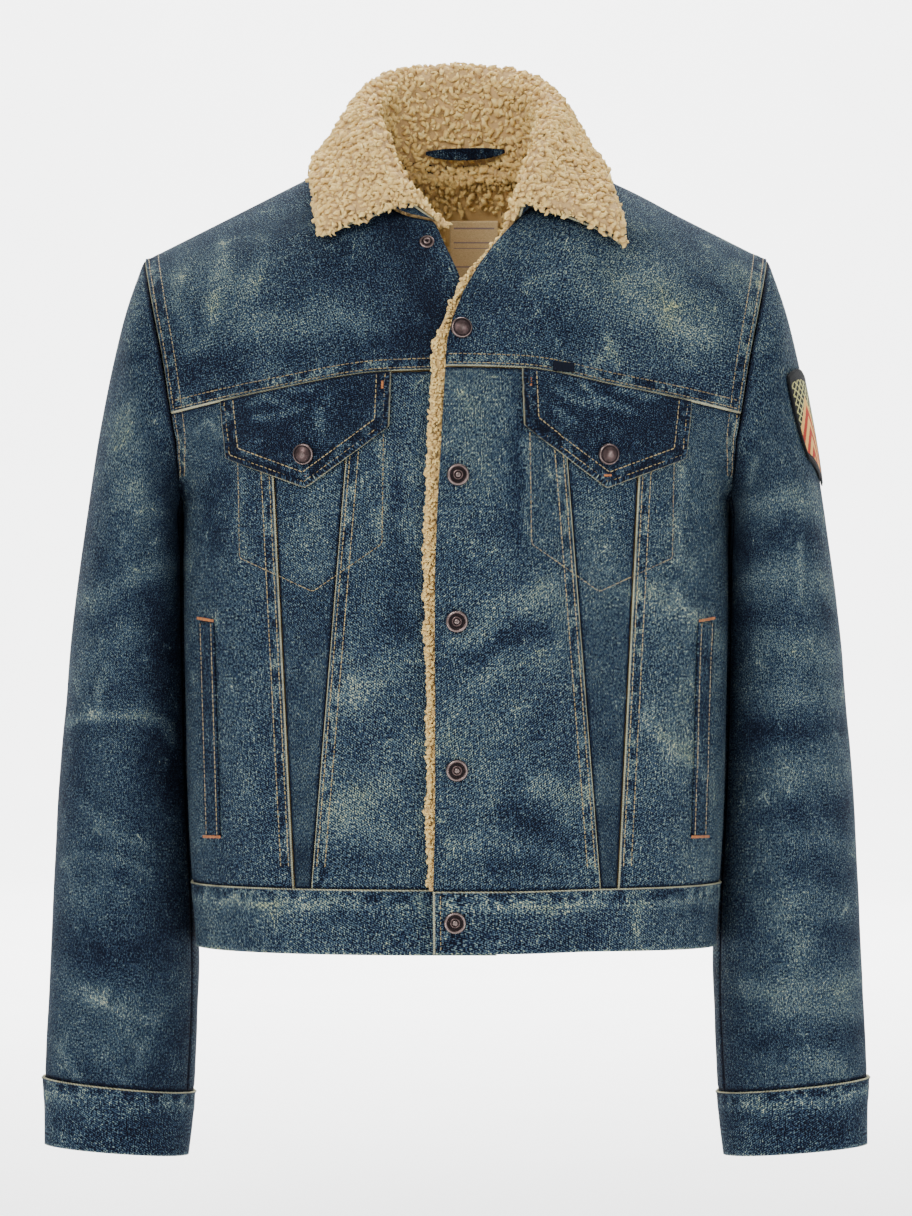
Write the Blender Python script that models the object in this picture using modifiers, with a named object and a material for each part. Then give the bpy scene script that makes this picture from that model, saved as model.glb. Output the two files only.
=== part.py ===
"""Sherpa lined denim jacket in its worn, hollow shape: body panels, sleeves, cuffs, waistband,
collar, pocket flaps, welts, lining and snaps, each its own piece.

Metres. +Z is up, -Y is the front, +X is the wearer's left. The origin is the middle of the neck
opening, level with the two side neck points, where the wearer's neck and shoulders hold it.

The body is one smooth surface, read by two coordinates. turn is the angle round the body: 0 at
the front centre, 90 degrees at the wearer's left side, 180 at the back. rise is the height along
the cloth from the chest line: below it the sections are level rings, and above it the cloth bends
over to the shoulder ridge like an arch. Every panel is an outline on that surface.
"""

import math

import bmesh
import bpy
import numpy as np
from mathutils import Matrix, Vector

# Cloth and gaps
DENIM = 0.0016
DOUBLE_DENIM = 0.0028
SEAM_GAP = 0.0006
LAYER_GAP = 0.0005
LINING = 0.0045
LINING_DEPTH = DENIM + 0.0028
LINING_GAP = 0.0100
LINING_INSET = 0.0300
COLLAR_SEAT = 0.0034
COLLAR_CLEAR = 0.0066
COLLAR_PILE = 0.0095

# Body
CHEST_Z = -0.220
HEM_Z = -0.600
WAIST_SEAM_Z = -0.5525
ARMPIT_Z = -0.265
NECK_HALF = 0.075
SHOULDER_SLOPE = 0.505
NAPE_RISE = 0.020
RISE_TOP = 0.240
SQUARENESS = 2.3
FRONT_ARCH = (1.6, 1.8)
BACK_ARCH = (3.0, 2.0)
ARMHOLE_SHARE = 0.60
ARMHOLE_FULL = 0.050

# Fronts
OVERLAP_LIFT = 0.0106
LIFT_FLAT = 0.050
LIFT_END = 0.125

FRONT_ROWS = [0, 0.25, 0.5, 0.7, 0.81, 0.87, 0.93, 1]
SIDE_ROWS = [0, 0.25, 0.5, 0.7, 0.82, 0.87, 0.93, 1]
YOKE_ROWS = [0, 0.15, 0.30, 0.45, 0.58, 0.69, 0.79, 0.88, 0.95, 1]
BACK_ROWS = [0, 0.25, 0.5, 0.64, 0.71, 0.77, 0.84, 0.92, 1]
LINING_ROWS = [0, 0.14, 0.28, 0.40, 0.47, 0.505, 0.54, 0.585, 0.64, 0.71, 0.78, 0.85, 0.90, 0.95, 1]
COLLAR_ROWS = [0, 0.05, 0.16, 0.27, 0.36, 0.44, 0.54, 0.68, 0.84, 1]

BODY_SECTIONS = [
    dict(z=-0.600, half_width=0.1965, front=0.114, back=0.104),
    dict(z=-0.5525, half_width=0.2000, front=0.118, back=0.106),
    dict(z=-0.490, half_width=0.2035, front=0.121, back=0.108),
    dict(z=-0.420, half_width=0.2050, front=0.124, back=0.110),
    dict(z=-0.350, half_width=0.2065, front=0.127, back=0.112),
    dict(z=-0.265, half_width=0.2070, front=0.129, back=0.114),
    dict(z=-0.220, half_width=0.2085, front=0.129, back=0.115),
]

ARMHOLE_LINE = [
    dict(share=0.00, x=0.2085),
    dict(share=0.13, x=0.2120),
    dict(share=0.41, x=0.2190),
    dict(share=0.66, x=0.2265),
    dict(share=0.90, x=0.2335),
    dict(share=1.00, x=0.2365),
]

# Front edges, bottom to top. rim is how far the lining stands out past the denim.
LEFT_EDGE = [
    dict(z=-0.5525, x=-0.0165, rim=0.0050),
    dict(z=-0.500, x=-0.0152, rim=0.0090),
    dict(z=-0.420, x=-0.0150, rim=0.0095),
    dict(z=-0.340, x=-0.0154, rim=0.0120),
    dict(z=-0.250, x=-0.0125, rim=0.0140),
    dict(z=-0.190, x=-0.0085, rim=0.0160),
    dict(z=-0.155, x=-0.0070, rim=0.0155),
    dict(z=-0.130, x=-0.0005, rim=0.0140),
    dict(z=-0.106, x=0.0110, rim=0.0110),
    dict(z=-0.085, x=0.0250, rim=0.0100),
    dict(z=-0.062, x=0.0456, rim=0.0090),
]
RIGHT_EDGE = [
    dict(z=-0.5525, x=0.0305, rim=0.0036),
    dict(z=-0.180, x=0.0305, rim=0.0036),
    dict(z=-0.140, x=0.0172, rim=0.0038),
    dict(z=-0.103, x=0.0034, rim=0.0040),
    dict(z=-0.093, x=0.0000, rim=0.0040),
    dict(z=-0.078, x=-0.0073, rim=0.0040),
    dict(z=-0.058, x=-0.0160, rim=0.0040),
]
LEFT_NECK = [dict(x=0.0456, z=-0.0620), dict(x=0.0620, z=-0.0450), dict(x=0.0720, z=-0.0200),
             dict(x=0.0750, z=0.0)]
RIGHT_NECK = [dict(x=-0.0160, z=-0.0580), dict(x=-0.0380, z=-0.0535), dict(x=-0.0600, z=-0.0420),
              dict(x=-0.0715, z=-0.0200), dict(x=-0.0750, z=0.0)]

# Seams of the fronts and back, as x at the yoke and at the waistband
YOKE_SEAM = [dict(x=-0.03, z=-0.1700), dict(x=0.05, z=-0.1720), dict(x=0.14, z=-0.1860),
             dict(x=0.22, z=-0.2020)]
WEDGE_INNER = dict(yoke=0.0760, waist=0.1070)
WEDGE_OUTER = dict(yoke=0.1375, waist=0.1190)
BACK_YOKE_Z = -0.150
BACK_SEAM = dict(yoke=0.0950, waist=0.0620)

FLAP = dict(inner=[0.0490, (0.0505, -0.2120)], point=(0.1100, -0.2550), outer=[0.1715, (0.1670, -0.2330)])
WELT = dict(inner=[(0.1790, -0.3560), (0.1745, -0.5140)], outer=[(0.1905, -0.3560), (0.1860, -0.5140)])
TAB = dict(left=0.0700, right=0.0855, top=-0.1670, bottom=-0.1735)
LABEL = dict(left=-0.0050, right=0.0340, top=-0.0390, bottom=-0.0960)
LOOP = dict(start=-0.11, end=0.20, low=0.025, high=0.075, bow=0.0040)

SLEEVE_SECTIONS = [
    dict(outer_x=0.2470, outer_z=-0.1110, inner_x=0.2100, inner_z=-0.2780, depth=0.0760, mid_y=0.000),
    dict(outer_x=0.2603, outer_z=-0.1600, inner_x=0.2098, inner_z=-0.2960, depth=0.0770, mid_y=0.006),
    dict(outer_x=0.2698, outer_z=-0.2050, inner_x=0.2090, inner_z=-0.3100, depth=0.0770, mid_y=0.012),
    dict(outer_x=0.2790, outer_z=-0.2600, inner_x=0.2080, inner_z=-0.3300, depth=0.0760, mid_y=0.018),
    dict(outer_x=0.2911, outer_z=-0.3420, inner_x=0.2055, inner_z=-0.3750, depth=0.0730, mid_y=0.026),
    dict(outer_x=0.2990, outer_z=-0.4200, inner_x=0.2040, inner_z=-0.4350, depth=0.0680, mid_y=0.031),
    dict(outer_x=0.3050, outer_z=-0.4900, inner_x=0.2020, inner_z=-0.4980, depth=0.0620, mid_y=0.034),
    dict(outer_x=0.3090, outer_z=-0.5650, inner_x=0.1985, inner_z=-0.5720, depth=0.0550, mid_y=0.036),
    dict(outer_x=0.3120, outer_z=-0.6300, inner_x=0.1975, inner_z=-0.6380, depth=0.0480, mid_y=0.036),
    dict(outer_x=0.3155, outer_z=-0.7030, inner_x=0.2010, inner_z=-0.7145, depth=0.0400, mid_y=0.035),
]
CUFF_SECTIONS = [
    dict(outer_x=0.3172, outer_z=-0.7036, inner_x=0.2002, inner_z=-0.7151, depth=0.0400, mid_y=0.035),
    dict(outer_x=0.3160, outer_z=-0.7290, inner_x=0.2020, inner_z=-0.7390, depth=0.0365, mid_y=0.034),
    dict(outer_x=0.3158, outer_z=-0.7555, inner_x=0.2050, inner_z=-0.7638, depth=0.0340, mid_y=0.033),
]
SLEEVE_SEAMS = dict(front=158.0, back=250.0)
PATCH = dict(front=58.0, back=6.0, top=0.082, bottom=0.180, slant=0.040, point=0.45)

# The collar, from the back centre to the front end: its roll line and its outer edge.
COLLAR_LEFT = [
    dict(s=0.00, roll=(0.000, 0.064, 0.068), edge=(0.000, 0.103, -0.016)),
    dict(s=0.20, roll=(0.041, 0.054, 0.063), edge=(0.062, 0.088, -0.013)),
    dict(s=0.37, roll=(0.065, 0.028, 0.049), edge=(0.093, 0.050, -0.003)),
    dict(s=0.51, roll=(0.073, -0.006, 0.030), edge=(0.104, 0.004, -0.009)),
    dict(s=0.66, roll=(0.068, -0.038, 0.009), edge=(0.110, -0.036, -0.028)),
    dict(s=0.82, roll=(0.060, -0.066, -0.018), edge=(0.116, -0.062, -0.049)),
    dict(s=1.00, roll=(0.051, -0.090, -0.045), edge=(0.122, -0.082, -0.076)),
]
COLLAR_RIGHT = [
    dict(s=0.00, roll=(0.000, 0.064, 0.068), edge=(0.000, 0.103, -0.016)),
    dict(s=0.20, roll=(-0.041, 0.054, 0.063), edge=(-0.062, 0.088, -0.013)),
    dict(s=0.37, roll=(-0.063, 0.028, 0.049), edge=(-0.092, 0.050, -0.003)),
    dict(s=0.51, roll=(-0.068, -0.006, 0.030), edge=(-0.102, 0.004, -0.009)),
    dict(s=0.66, roll=(-0.061, -0.038, 0.009), edge=(-0.104, -0.036, -0.028)),
    dict(s=0.82, roll=(-0.050, -0.062, -0.018), edge=(-0.102, -0.062, -0.048)),
    dict(s=1.00, roll=(-0.036, -0.080, -0.044), edge=(-0.097, -0.080, -0.070)),
]

SNAP_RADIUS = 0.0090
FRONT_SNAPS = [
    dict(name="snap_front_1", x=0.0040, z=-0.1435, out=0.0, plain=True),
    dict(name="snap_front_2", x=0.0015, z=-0.2480, out=0.0, plain=False),
    dict(name="snap_front_3", x=0.0007, z=-0.3545, out=0.0, plain=False),
    dict(name="snap_front_4", x=0.0007, z=-0.4630, out=0.0, plain=False),
    dict(name="snap_waist", x=-0.0007, z=-0.5740, out=0.0006, plain=False),
]
FLAP_SNAP = dict(x=0.1105, z=-0.2320)
STUD = dict(x=-0.0215, z=-0.0740)

COLOURS = {
    "denim": dict(colour=(0.045, 0.085, 0.150), roughness=0.85, metallic=0.0),
    "sherpa": dict(colour=(0.62, 0.47, 0.29), roughness=0.95, metallic=0.0),
    "snap_metal": dict(colour=(0.30, 0.22, 0.20), roughness=0.38, metallic=1.0),
    "label_cloth": dict(colour=(0.60, 0.47, 0.36), roughness=0.85, metallic=0.0),
    "patch_cloth": dict(colour=(0.20, 0.06, 0.04), roughness=0.85, metallic=0.0),
    "tab_cloth": dict(colour=(0.02, 0.02, 0.03), roughness=0.8, metallic=0.0),
}


def column(table, name):
    return np.array([row[name] for row in table], float)


def smooth(at, keys, values):
    """A curve through the table's rows that never overshoots them."""
    keys, values = np.asarray(keys, float), np.asarray(values, float)
    gap = np.diff(keys)
    slope = np.diff(values) / gap
    before, after = slope[:-1], slope[1:]
    level = before * after <= 0
    mean = 2 * before * after / np.where(level, 1, before + after)
    tangent = np.concatenate([[slope[0]], np.where(level, 0, mean), [slope[-1]]])
    at = np.clip(at, keys[0], keys[-1])
    i = np.clip(np.searchsorted(keys, at, side="right") - 1, 0, len(keys) - 2)
    t = (at - keys[i]) / gap[i]
    return ((1 + 2 * t) * (1 - t) ** 2 * values[i] + t * (1 - t) ** 2 * gap[i] * tangent[i]
            + t * t * (3 - 2 * t) * values[i + 1] - t * t * (1 - t) * gap[i] * tangent[i + 1])


def read(table, key, name, at):
    return smooth(at, column(table, key), column(table, name))


def ease(t):
    t = np.clip(t, 0, 1)
    return t * t * (3 - 2 * t)


# ---------------------------------------------------------------- the body's surface

def climb(rise, powers):
    """(share of the way up to the ridge, share of the depth left) along the arch."""
    angle = np.clip(rise / RISE_TOP, 0, 1) * math.pi / 2
    return np.sin(angle) ** (2 / powers[0]), np.cos(angle) ** (2 / powers[1])


def armhole_share(rise):
    """How far the armhole reaches towards the front, as a share of the section's depth."""
    pit = ARMPIT_Z - CHEST_Z
    t = np.clip((rise - pit) / (ARMHOLE_FULL - pit), 0, 1)
    return ARMHOLE_SHARE * np.sqrt(1 - (1 - t) ** 2)


def half_width(rise, share_up):
    low = read(BODY_SECTIONS, "z", "half_width", CHEST_Z + np.minimum(rise, 0))
    armhole_x = np.where(rise > 0, read(ARMHOLE_LINE, "share", "x", share_up), low)
    return armhole_x / (1 - armhole_share(rise) ** SQUARENESS) ** (1 / SQUARENESS)


def ridge_drop(x):
    return SHOULDER_SLOPE * np.maximum(np.abs(x) - NECK_HALF, 0)


def nape(x):
    return NAPE_RISE * np.maximum(1 - (x / NECK_HALF) ** 2, 0)


def body_base(turn, rise):
    """The outer face of the body with nothing lifted."""
    turn, rise = np.broadcast_arrays(np.asarray(turn, float), np.asarray(rise, float))
    front = np.cos(turn) > 0
    up_f, deep_f = climb(rise, FRONT_ARCH)
    up_b, deep_b = climb(rise, BACK_ARCH)
    up, deep = np.where(front, up_f, up_b), np.where(front, deep_f, deep_b)
    z_low = CHEST_Z + np.minimum(rise, 0)
    depth = np.where(front, -read(BODY_SECTIONS, "z", "front", z_low),
                     read(BODY_SECTIONS, "z", "back", z_low))
    across = np.abs(np.sin(turn)) ** (2 / SQUARENESS)
    x = half_width(rise, up) * np.sign(np.sin(turn)) * across
    y = depth * np.abs(np.cos(turn)) ** (2 / SQUARENESS) * deep
    height = -CHEST_Z - ridge_drop(x) + np.where(front, 0, nape(x))
    return np.stack([x, y, z_low + up * height], axis=-1)


def body_normal(turn, rise):
    step = 1e-3
    turn, rise = np.broadcast_arrays(np.asarray(turn, float), np.asarray(rise, float))
    side = body_base(turn + step, rise) - body_base(turn - step, rise)
    top = RISE_TOP - 2e-4
    upward = body_base(turn, np.minimum(rise, top) + 1e-4) - body_base(turn, np.minimum(rise, top) - 1e-4)
    normal = np.cross(side, upward)
    return normal / np.linalg.norm(normal, axis=-1, keepdims=True)


def lift_of(x, z):
    """How far the wearer's left front stands off the body near its edge, to lie over the right."""
    from_edge = x - read(LEFT_EDGE, "z", "x", z)
    near = 1 - ease((from_edge - LIFT_FLAT) / (LIFT_END - LIFT_FLAT))
    return OVERLAP_LIFT * near * (1 - ease((z + 0.075) / 0.060))


def body(turn, rise, out=0.0, lifted=False):
    base = body_base(turn, rise)
    out = out + np.where(lifted, lift_of(base[..., 0], base[..., 2]), 0)
    return base + body_normal(turn, rise) * np.asarray(out)[..., None]


def on_body(x, z, back=False):
    """(turn, rise) of the point that shows at x and z from the front, or from the back."""
    x, z = np.broadcast_arrays(np.asarray(x, float), np.asarray(z, float))
    powers = BACK_ARCH if back else FRONT_ARCH
    height = -CHEST_Z - ridge_drop(x) + (nape(x) if back else 0)
    share = np.clip((z - CHEST_Z) / height, 0, 1)
    rise = np.where(z > CHEST_Z, RISE_TOP * np.arcsin(share ** (powers[0] / 2)) * 2 / math.pi, z - CHEST_Z)
    across = np.clip(np.abs(x) / half_width(rise, climb(rise, powers)[0]), 0, 1)
    turn = np.sign(x) * np.arcsin(across ** (SQUARENESS / 2))
    return (math.pi - turn if back else turn), rise


def armhole_turn(rise):
    return np.arccos(armhole_share(rise) ** (SQUARENESS / 2))


# ---------------------------------------------------------------- outlines on the body

def track(rows, back=False):
    """A line on the body through rows of (x, z), as a function of the share of the rows passed."""
    x, z = np.array(rows, float).T
    t = np.linspace(0, 1, len(x))

    def line(at):
        return np.stack(on_body(np.interp(at, t, x), np.interp(at, t, z), back), axis=-1)

    return line


def straight(start, end):
    """A line in (turn, rise) between two points."""
    start, end = np.asarray(start, float), np.asarray(end, float)
    return lambda at: start + (end - start) * np.asarray(at, float)[..., None]


def along_armhole(low, high, back=False):
    """The armhole's edge between two rises, drawn in by a seam gap."""

    def line(at):
        rise = low + (high - low) * np.asarray(at, float)
        turn = armhole_turn(rise) - SEAM_GAP / 0.15
        return np.stack([math.pi - turn if back else turn, rise], axis=-1)

    return line


def joined(first, second, share):
    """One line after another, the first taking this share."""

    def line(at):
        at = np.asarray(at, float)
        early = first(np.clip(at / share, 0, 1))
        late = second(np.clip((at - share) / (1 - share), 0, 1))
        return np.where((at <= share)[..., None], early, late)

    return line


def coons(bottom, top, left, right):
    """The patch between four lines that meet at their ends."""

    def patch(u, v):
        u1, v1 = u[..., None], v[..., None]
        zero, one = np.zeros_like(u), np.ones_like(u)
        corners = ((1 - u1) * (1 - v1) * bottom(zero) + u1 * (1 - v1) * bottom(one)
                   + (1 - u1) * v1 * top(zero) + u1 * v1 * top(one))
        return (1 - v1) * bottom(u) + v1 * top(u) + (1 - u1) * left(v) + u1 * right(v) - corners

    return patch


def between(low_x, high_x, low_z, top_z, rows=9, back=False):
    """A panel of the body from one upright seam to the next, each given as x at a height."""
    steps = np.linspace(0, 1, rows)

    def upright(x_of):
        top = float(top_z(x_of(top_z(0.1))))
        zs = low_z + (top - low_z) * steps
        return track([(float(x_of(z)), z) for z in zs], back)

    def level(z_of):
        start, end = float(low_x(z_of(0.1))), float(high_x(z_of(0.1)))
        xs = start + (end - start) * steps
        return track([(x, float(z_of(x))) for x in xs], back)

    return coons(level(lambda x: low_z), level(top_z), upright(low_x), upright(high_x))


# ---------------------------------------------------------------- Blender objects

def material(slot):
    found = bpy.data.materials.get(slot)
    if found:
        return found
    made = bpy.data.materials.new(slot)
    made.use_nodes = True
    shader = made.node_tree.nodes["Principled BSDF"]
    look = COLOURS[slot]
    shader.inputs["Base Color"].default_value = (*look["colour"], 1)
    shader.inputs["Roughness"].default_value = look["roughness"]
    shader.inputs["Metallic"].default_value = look["metallic"]
    return made


def add_object(name, mesh, slot):
    made = bpy.data.objects.new(name, mesh)
    bpy.data.collections["sherpa_lined_jacket"].objects.link(made)
    mesh.materials.clear()
    mesh.materials.append(material(slot))
    mesh.shade_smooth()
    return made


def cloth(name, surface, cells, thickness, slot="denim", outward=False, mirrored=False, closed=False):
    """A grid laid on surface(u, v) and given its thickness, inwards unless outward.

    cells holds how many cells each way, or where the grid's lines fall.
    """
    lines = [np.linspace(0, 1, count + 1) if np.isscalar(count) else count for count in cells]
    grid = bmesh.new()
    bmesh.ops.create_grid(grid, x_segments=len(lines[0]) - 1, y_segments=len(lines[1]) - 1, size=0.5)
    flat = np.array([corner.co[:] for corner in grid.verts])
    u, v = (np.interp(flat[:, k] + 0.5, np.linspace(0, 1, len(cuts)), cuts) for k, cuts in enumerate(lines))
    for corner, place in zip(grid.verts, surface(u, v)):
        corner.co = place
    if closed:
        bmesh.ops.remove_doubles(grid, verts=grid.verts, dist=1e-5)
    bmesh.ops.triangulate(grid, faces=grid.faces, quad_method="FIXED")
    if mirrored:
        bmesh.ops.reverse_faces(grid, faces=grid.faces)
    mesh = bpy.data.meshes.new(name)
    grid.to_mesh(mesh)
    grid.free()
    made = add_object(name, mesh, slot)
    wall = made.modifiers.new("wall", "SOLIDIFY")
    wall.thickness = thickness
    wall.offset = 1 if outward else -1
    return made


def body_cloth(name, patch, cells, thickness=DENIM, side=1, out=0.0, lifted=False, **more):
    """A piece of the body. A patch drawn for the left side is turned over for side -1."""

    def surface(u, v):
        spot = patch(u, v)
        return body(side * spot[..., 0], spot[..., 1], out, lifted)

    return cloth(name, surface, cells, thickness, mirrored=side < 0, **more)


def turned(name, profile, place, normal, slot="snap_metal", steps=18):
    """A turned piece from (radius, height) rows, top first, standing on place along normal."""
    mesh = bpy.data.meshes.new(name)
    points = [(row[0], 0, row[1]) for row in profile]
    mesh.from_pydata(points, [(k, k + 1) for k in range(len(points) - 1)], [])
    made = add_object(name, mesh, slot)
    made.matrix_world = Matrix.Translation(place) @ Vector(normal).to_track_quat("Z", "Y").to_matrix().to_4x4()
    lathe = made.modifiers.new("turned", "SCREW")
    lathe.steps = lathe.render_steps = steps
    lathe.use_merge_vertices = True
    lathe.merge_threshold = 1e-5
    lathe.use_smooth_shade = True
    return made


# ---------------------------------------------------------------- fronts

LOW = WAIST_SEAM_Z + SEAM_GAP
RIDGE = RISE_TOP - 0.0010
HALF_GAP = SEAM_GAP / 2
FRONT_SIDES = [
    dict(side=1, label="left", edge=LEFT_EDGE, neck=LEFT_NECK, lifted=True, neck_drop=0.004),
    dict(side=-1, label="right", edge=RIGHT_EDGE, neck=RIGHT_NECK, lifted=False, neck_drop=0.001),
]


def seam_x(seam, shift=0.0):
    """x of an upright front seam at a height, set off to one side of its line."""
    return lambda z: np.interp(z, [WAIST_SEAM_Z, -0.175], [seam["waist"], seam["yoke"]]) + shift


def yoke_z(x):
    return read(YOKE_SEAM, "x", "z", np.abs(x))


def under_yoke(x):
    return yoke_z(x) - SEAM_GAP


def spot_of(x, z, back=False):
    turn, rise = on_body(x, z, back)
    return np.array([float(turn), float(rise)])


def armhole_corner(z, back=False):
    """The rise at which the armhole's edge passes this height."""
    rises = np.linspace(ARMPIT_Z - CHEST_Z, RIDGE, 400)
    spots = along_armhole(rises[0], rises[-1], back)((rises - rises[0]) / (rises[-1] - rises[0]))
    heights = body_base(spots[:, 0], spots[:, 1])[:, 2]
    return float(np.interp(z, heights, rises))


def side_line(seam_turn, corner, back=False):
    """Up the side seam and on along the armhole to a corner."""
    pit = ARMPIT_Z - CHEST_Z
    seam = straight((seam_turn, LOW - CHEST_Z), (seam_turn, pit))
    hole = along_armhole(pit, corner, back)
    reach = (pit - LOW + CHEST_Z) / (corner - LOW + CHEST_Z)

    def line(at):
        spot = joined(seam, hole, reach)(at)
        limit = np.maximum if back else np.minimum
        spot[..., 0] = limit(spot[..., 0], seam_turn)
        return spot

    return line


def fronts():
    corner = armhole_corner(float(under_yoke(0.213)))
    seam_turn = math.pi / 2 - 0.002
    for half in FRONT_SIDES:
        side, label, edge = half["side"], half["label"], half["edge"]
        look = dict(side=side, lifted=half["lifted"])
        edge_x = lambda z, side=side, edge=edge: side * read(edge, "z", "x", z)
        inner_a, inner_b = seam_x(WEDGE_INNER, -HALF_GAP), seam_x(WEDGE_INNER, HALF_GAP)
        outer_a, outer_b = seam_x(WEDGE_OUTER, -HALF_GAP), seam_x(WEDGE_OUTER, HALF_GAP)
        body_cloth(f"front_center_{label}", between(edge_x, inner_a, LOW, under_yoke), (6, FRONT_ROWS), **look)
        body_cloth(f"front_wedge_{label}", between(inner_b, outer_a, LOW, under_yoke), (2, FRONT_ROWS), **look)
        inner = track([(float(outer_b(z)), z) for z in np.linspace(LOW, under_yoke(0.1375), 9)])
        bottom = straight(spot_of(outer_b(LOW), LOW), (seam_turn, LOW - CHEST_Z))
        arm = side_line(seam_turn, corner)
        end = arm(np.array([1.0]))[0]
        end_x = float(body_base(end[0], end[1])[0])
        start_x = float(outer_b(-0.1))
        top = track([(x, float(under_yoke(x))) for x in np.linspace(start_x, end_x, 9)])
        body_cloth(f"front_side_{label}", coons(bottom, top, inner, arm), (6, SIDE_ROWS), **look)


def front_yokes():
    corner = armhole_corner(float(yoke_z(0.213)))
    arm = along_armhole(corner, RIDGE)
    start = arm(np.array([0.0]))[0]
    end_x = float(body_base(start[0], start[1])[0])
    for half in FRONT_SIDES:
        side, edge, neck = half["side"], half["edge"], half["neck"]
        low_x = side * float(read(edge, "z", "x", yoke_z(0.0)))
        bottom = track([(x, float(yoke_z(x))) for x in np.linspace(low_x, end_x, 11)])
        zs = np.linspace(float(yoke_z(0.0)), neck[0]["z"], 7)
        rows = [(side * float(read(edge, "z", "x", z)), z) for z in zs]
        curve = track([(side * row["x"], row["z"]) for row in neck])
        inner = joined(track(rows), curve, 0.60)
        neck_turn = float(on_body(NECK_HALF, -0.001)[0])
        top = straight((neck_turn, RIDGE), arm(np.array([1.0]))[0])

        def left(at, inner=inner):
            spot = inner(at)
            spot[..., 1] = np.minimum(spot[..., 1], RIDGE)
            return spot

        body_cloth(f"front_yoke_{half['label']}", coons(bottom, top, left, arm), (9, YOKE_ROWS),
                   side=side, lifted=half["lifted"])


# ---------------------------------------------------------------- back

def back_neck(at):
    """The back neckline from the wearer's left neck point to the right one."""
    angle = math.pi * np.asarray(at, float)
    x = NECK_HALF * np.cos(angle)
    rise = RIDGE - 0.36 * RISE_TOP * np.sin(angle)
    across = np.clip(np.abs(x) / half_width(rise, climb(rise, BACK_ARCH)[0]), 0, 1)
    turn = np.sign(x) * np.arcsin(across ** (SQUARENESS / 2))
    return np.stack([math.pi - turn, rise], axis=-1)


def backs():
    yoke = BACK_YOKE_Z - SEAM_GAP
    seam_turn = math.pi / 2 + 0.002
    corner = armhole_corner(yoke, back=True)

    def seam(shift):
        return lambda z: np.interp(z, [WAIST_SEAM_Z, BACK_YOKE_Z], [BACK_SEAM["waist"], BACK_SEAM["yoke"]]) + shift

    centre = between(seam(-HALF_GAP), lambda z: -seam(-HALF_GAP)(z), LOW, lambda x: yoke, back=True)
    body_cloth("back_center", centre, (8, BACK_ROWS))
    arm = side_line(seam_turn, corner, back=True)
    start, end = arm(np.array([1.0]))[0], spot_of(seam(HALF_GAP)(yoke), yoke, True)
    start_x = float(body_base(start[0], start[1])[0])
    top = track([(x, yoke) for x in np.linspace(start_x, seam(HALF_GAP)(yoke), 9)], back=True)
    bottom = straight((seam_turn, LOW - CHEST_Z), spot_of(seam(HALF_GAP)(LOW), LOW, True))
    inner = track([(float(seam(HALF_GAP)(z)), z) for z in np.linspace(LOW, yoke, 9)], back=True)
    for side, label in ((1, "left"), (-1, "right")):
        body_cloth(f"back_side_{label}", coons(bottom, top, arm, inner), (8, BACK_ROWS), side=side)


def over_back(low_z, out_of_neck=0.0, inset=0.0):
    """The patch over both shoulder blades, from armhole to armhole and up to ridge and neckline."""
    corner = armhole_corner(low_z, back=True)
    hole = along_armhole(corner, RIDGE, back=True)

    def arm_left(at):
        spot = hole(at)
        spot[..., 0] = spot[..., 0] + inset
        return spot

    def arm_right(at):
        spot = arm_left(at)
        spot[..., 0] = 2 * math.pi - spot[..., 0]
        return spot

    start = arm_left(np.array([0.0]))[0]
    start_x = float(body_base(start[0], start[1])[0])
    bottom = track([(x, low_z) for x in np.linspace(start_x, -start_x, 17)], back=True)
    neck_from, neck_to = 0.28, 0.72

    def top(at):
        first = arm_left(np.array([1.0]))[0, 0]
        neck = back_neck(np.clip((at - neck_from) / (neck_to - neck_from), 0, 1))
        left_end, right_end = back_neck(np.array([0.0, 1.0]))[:, 0]
        before = first + (left_end - first) * np.clip(at / neck_from, 0, 1)
        after = right_end + (2 * math.pi - first - right_end) * np.clip((at - neck_to) / (1 - neck_to), 0, 1)
        turn = np.where(at < neck_from, before, np.where(at > neck_to, after, neck[..., 0]))
        beside = (at < neck_from) | (at > neck_to)
        return np.stack([turn, np.where(beside, RIDGE, neck[..., 1] - out_of_neck)], axis=-1)

    return coons(bottom, top, arm_left, arm_right)


def waistband():
    """One strip from the underlap's end round the back to the overlap's end."""
    start = spot_of(0.0300, -0.58)[0]
    end = spot_of(-0.0165, -0.58)[0] - 2 * math.pi

    def surface(u, v):
        turn = start + (end - start) * u
        rise = HEM_Z - CHEST_Z + (WAIST_SEAM_Z - HEM_Z) * v
        return body(turn, rise, 0.0006, lifted=turn < -1.5 * math.pi)

    cloth("waistband", surface, (44, 1), DOUBLE_DENIM, mirrored=True)


# ---------------------------------------------------------------- lining

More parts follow.
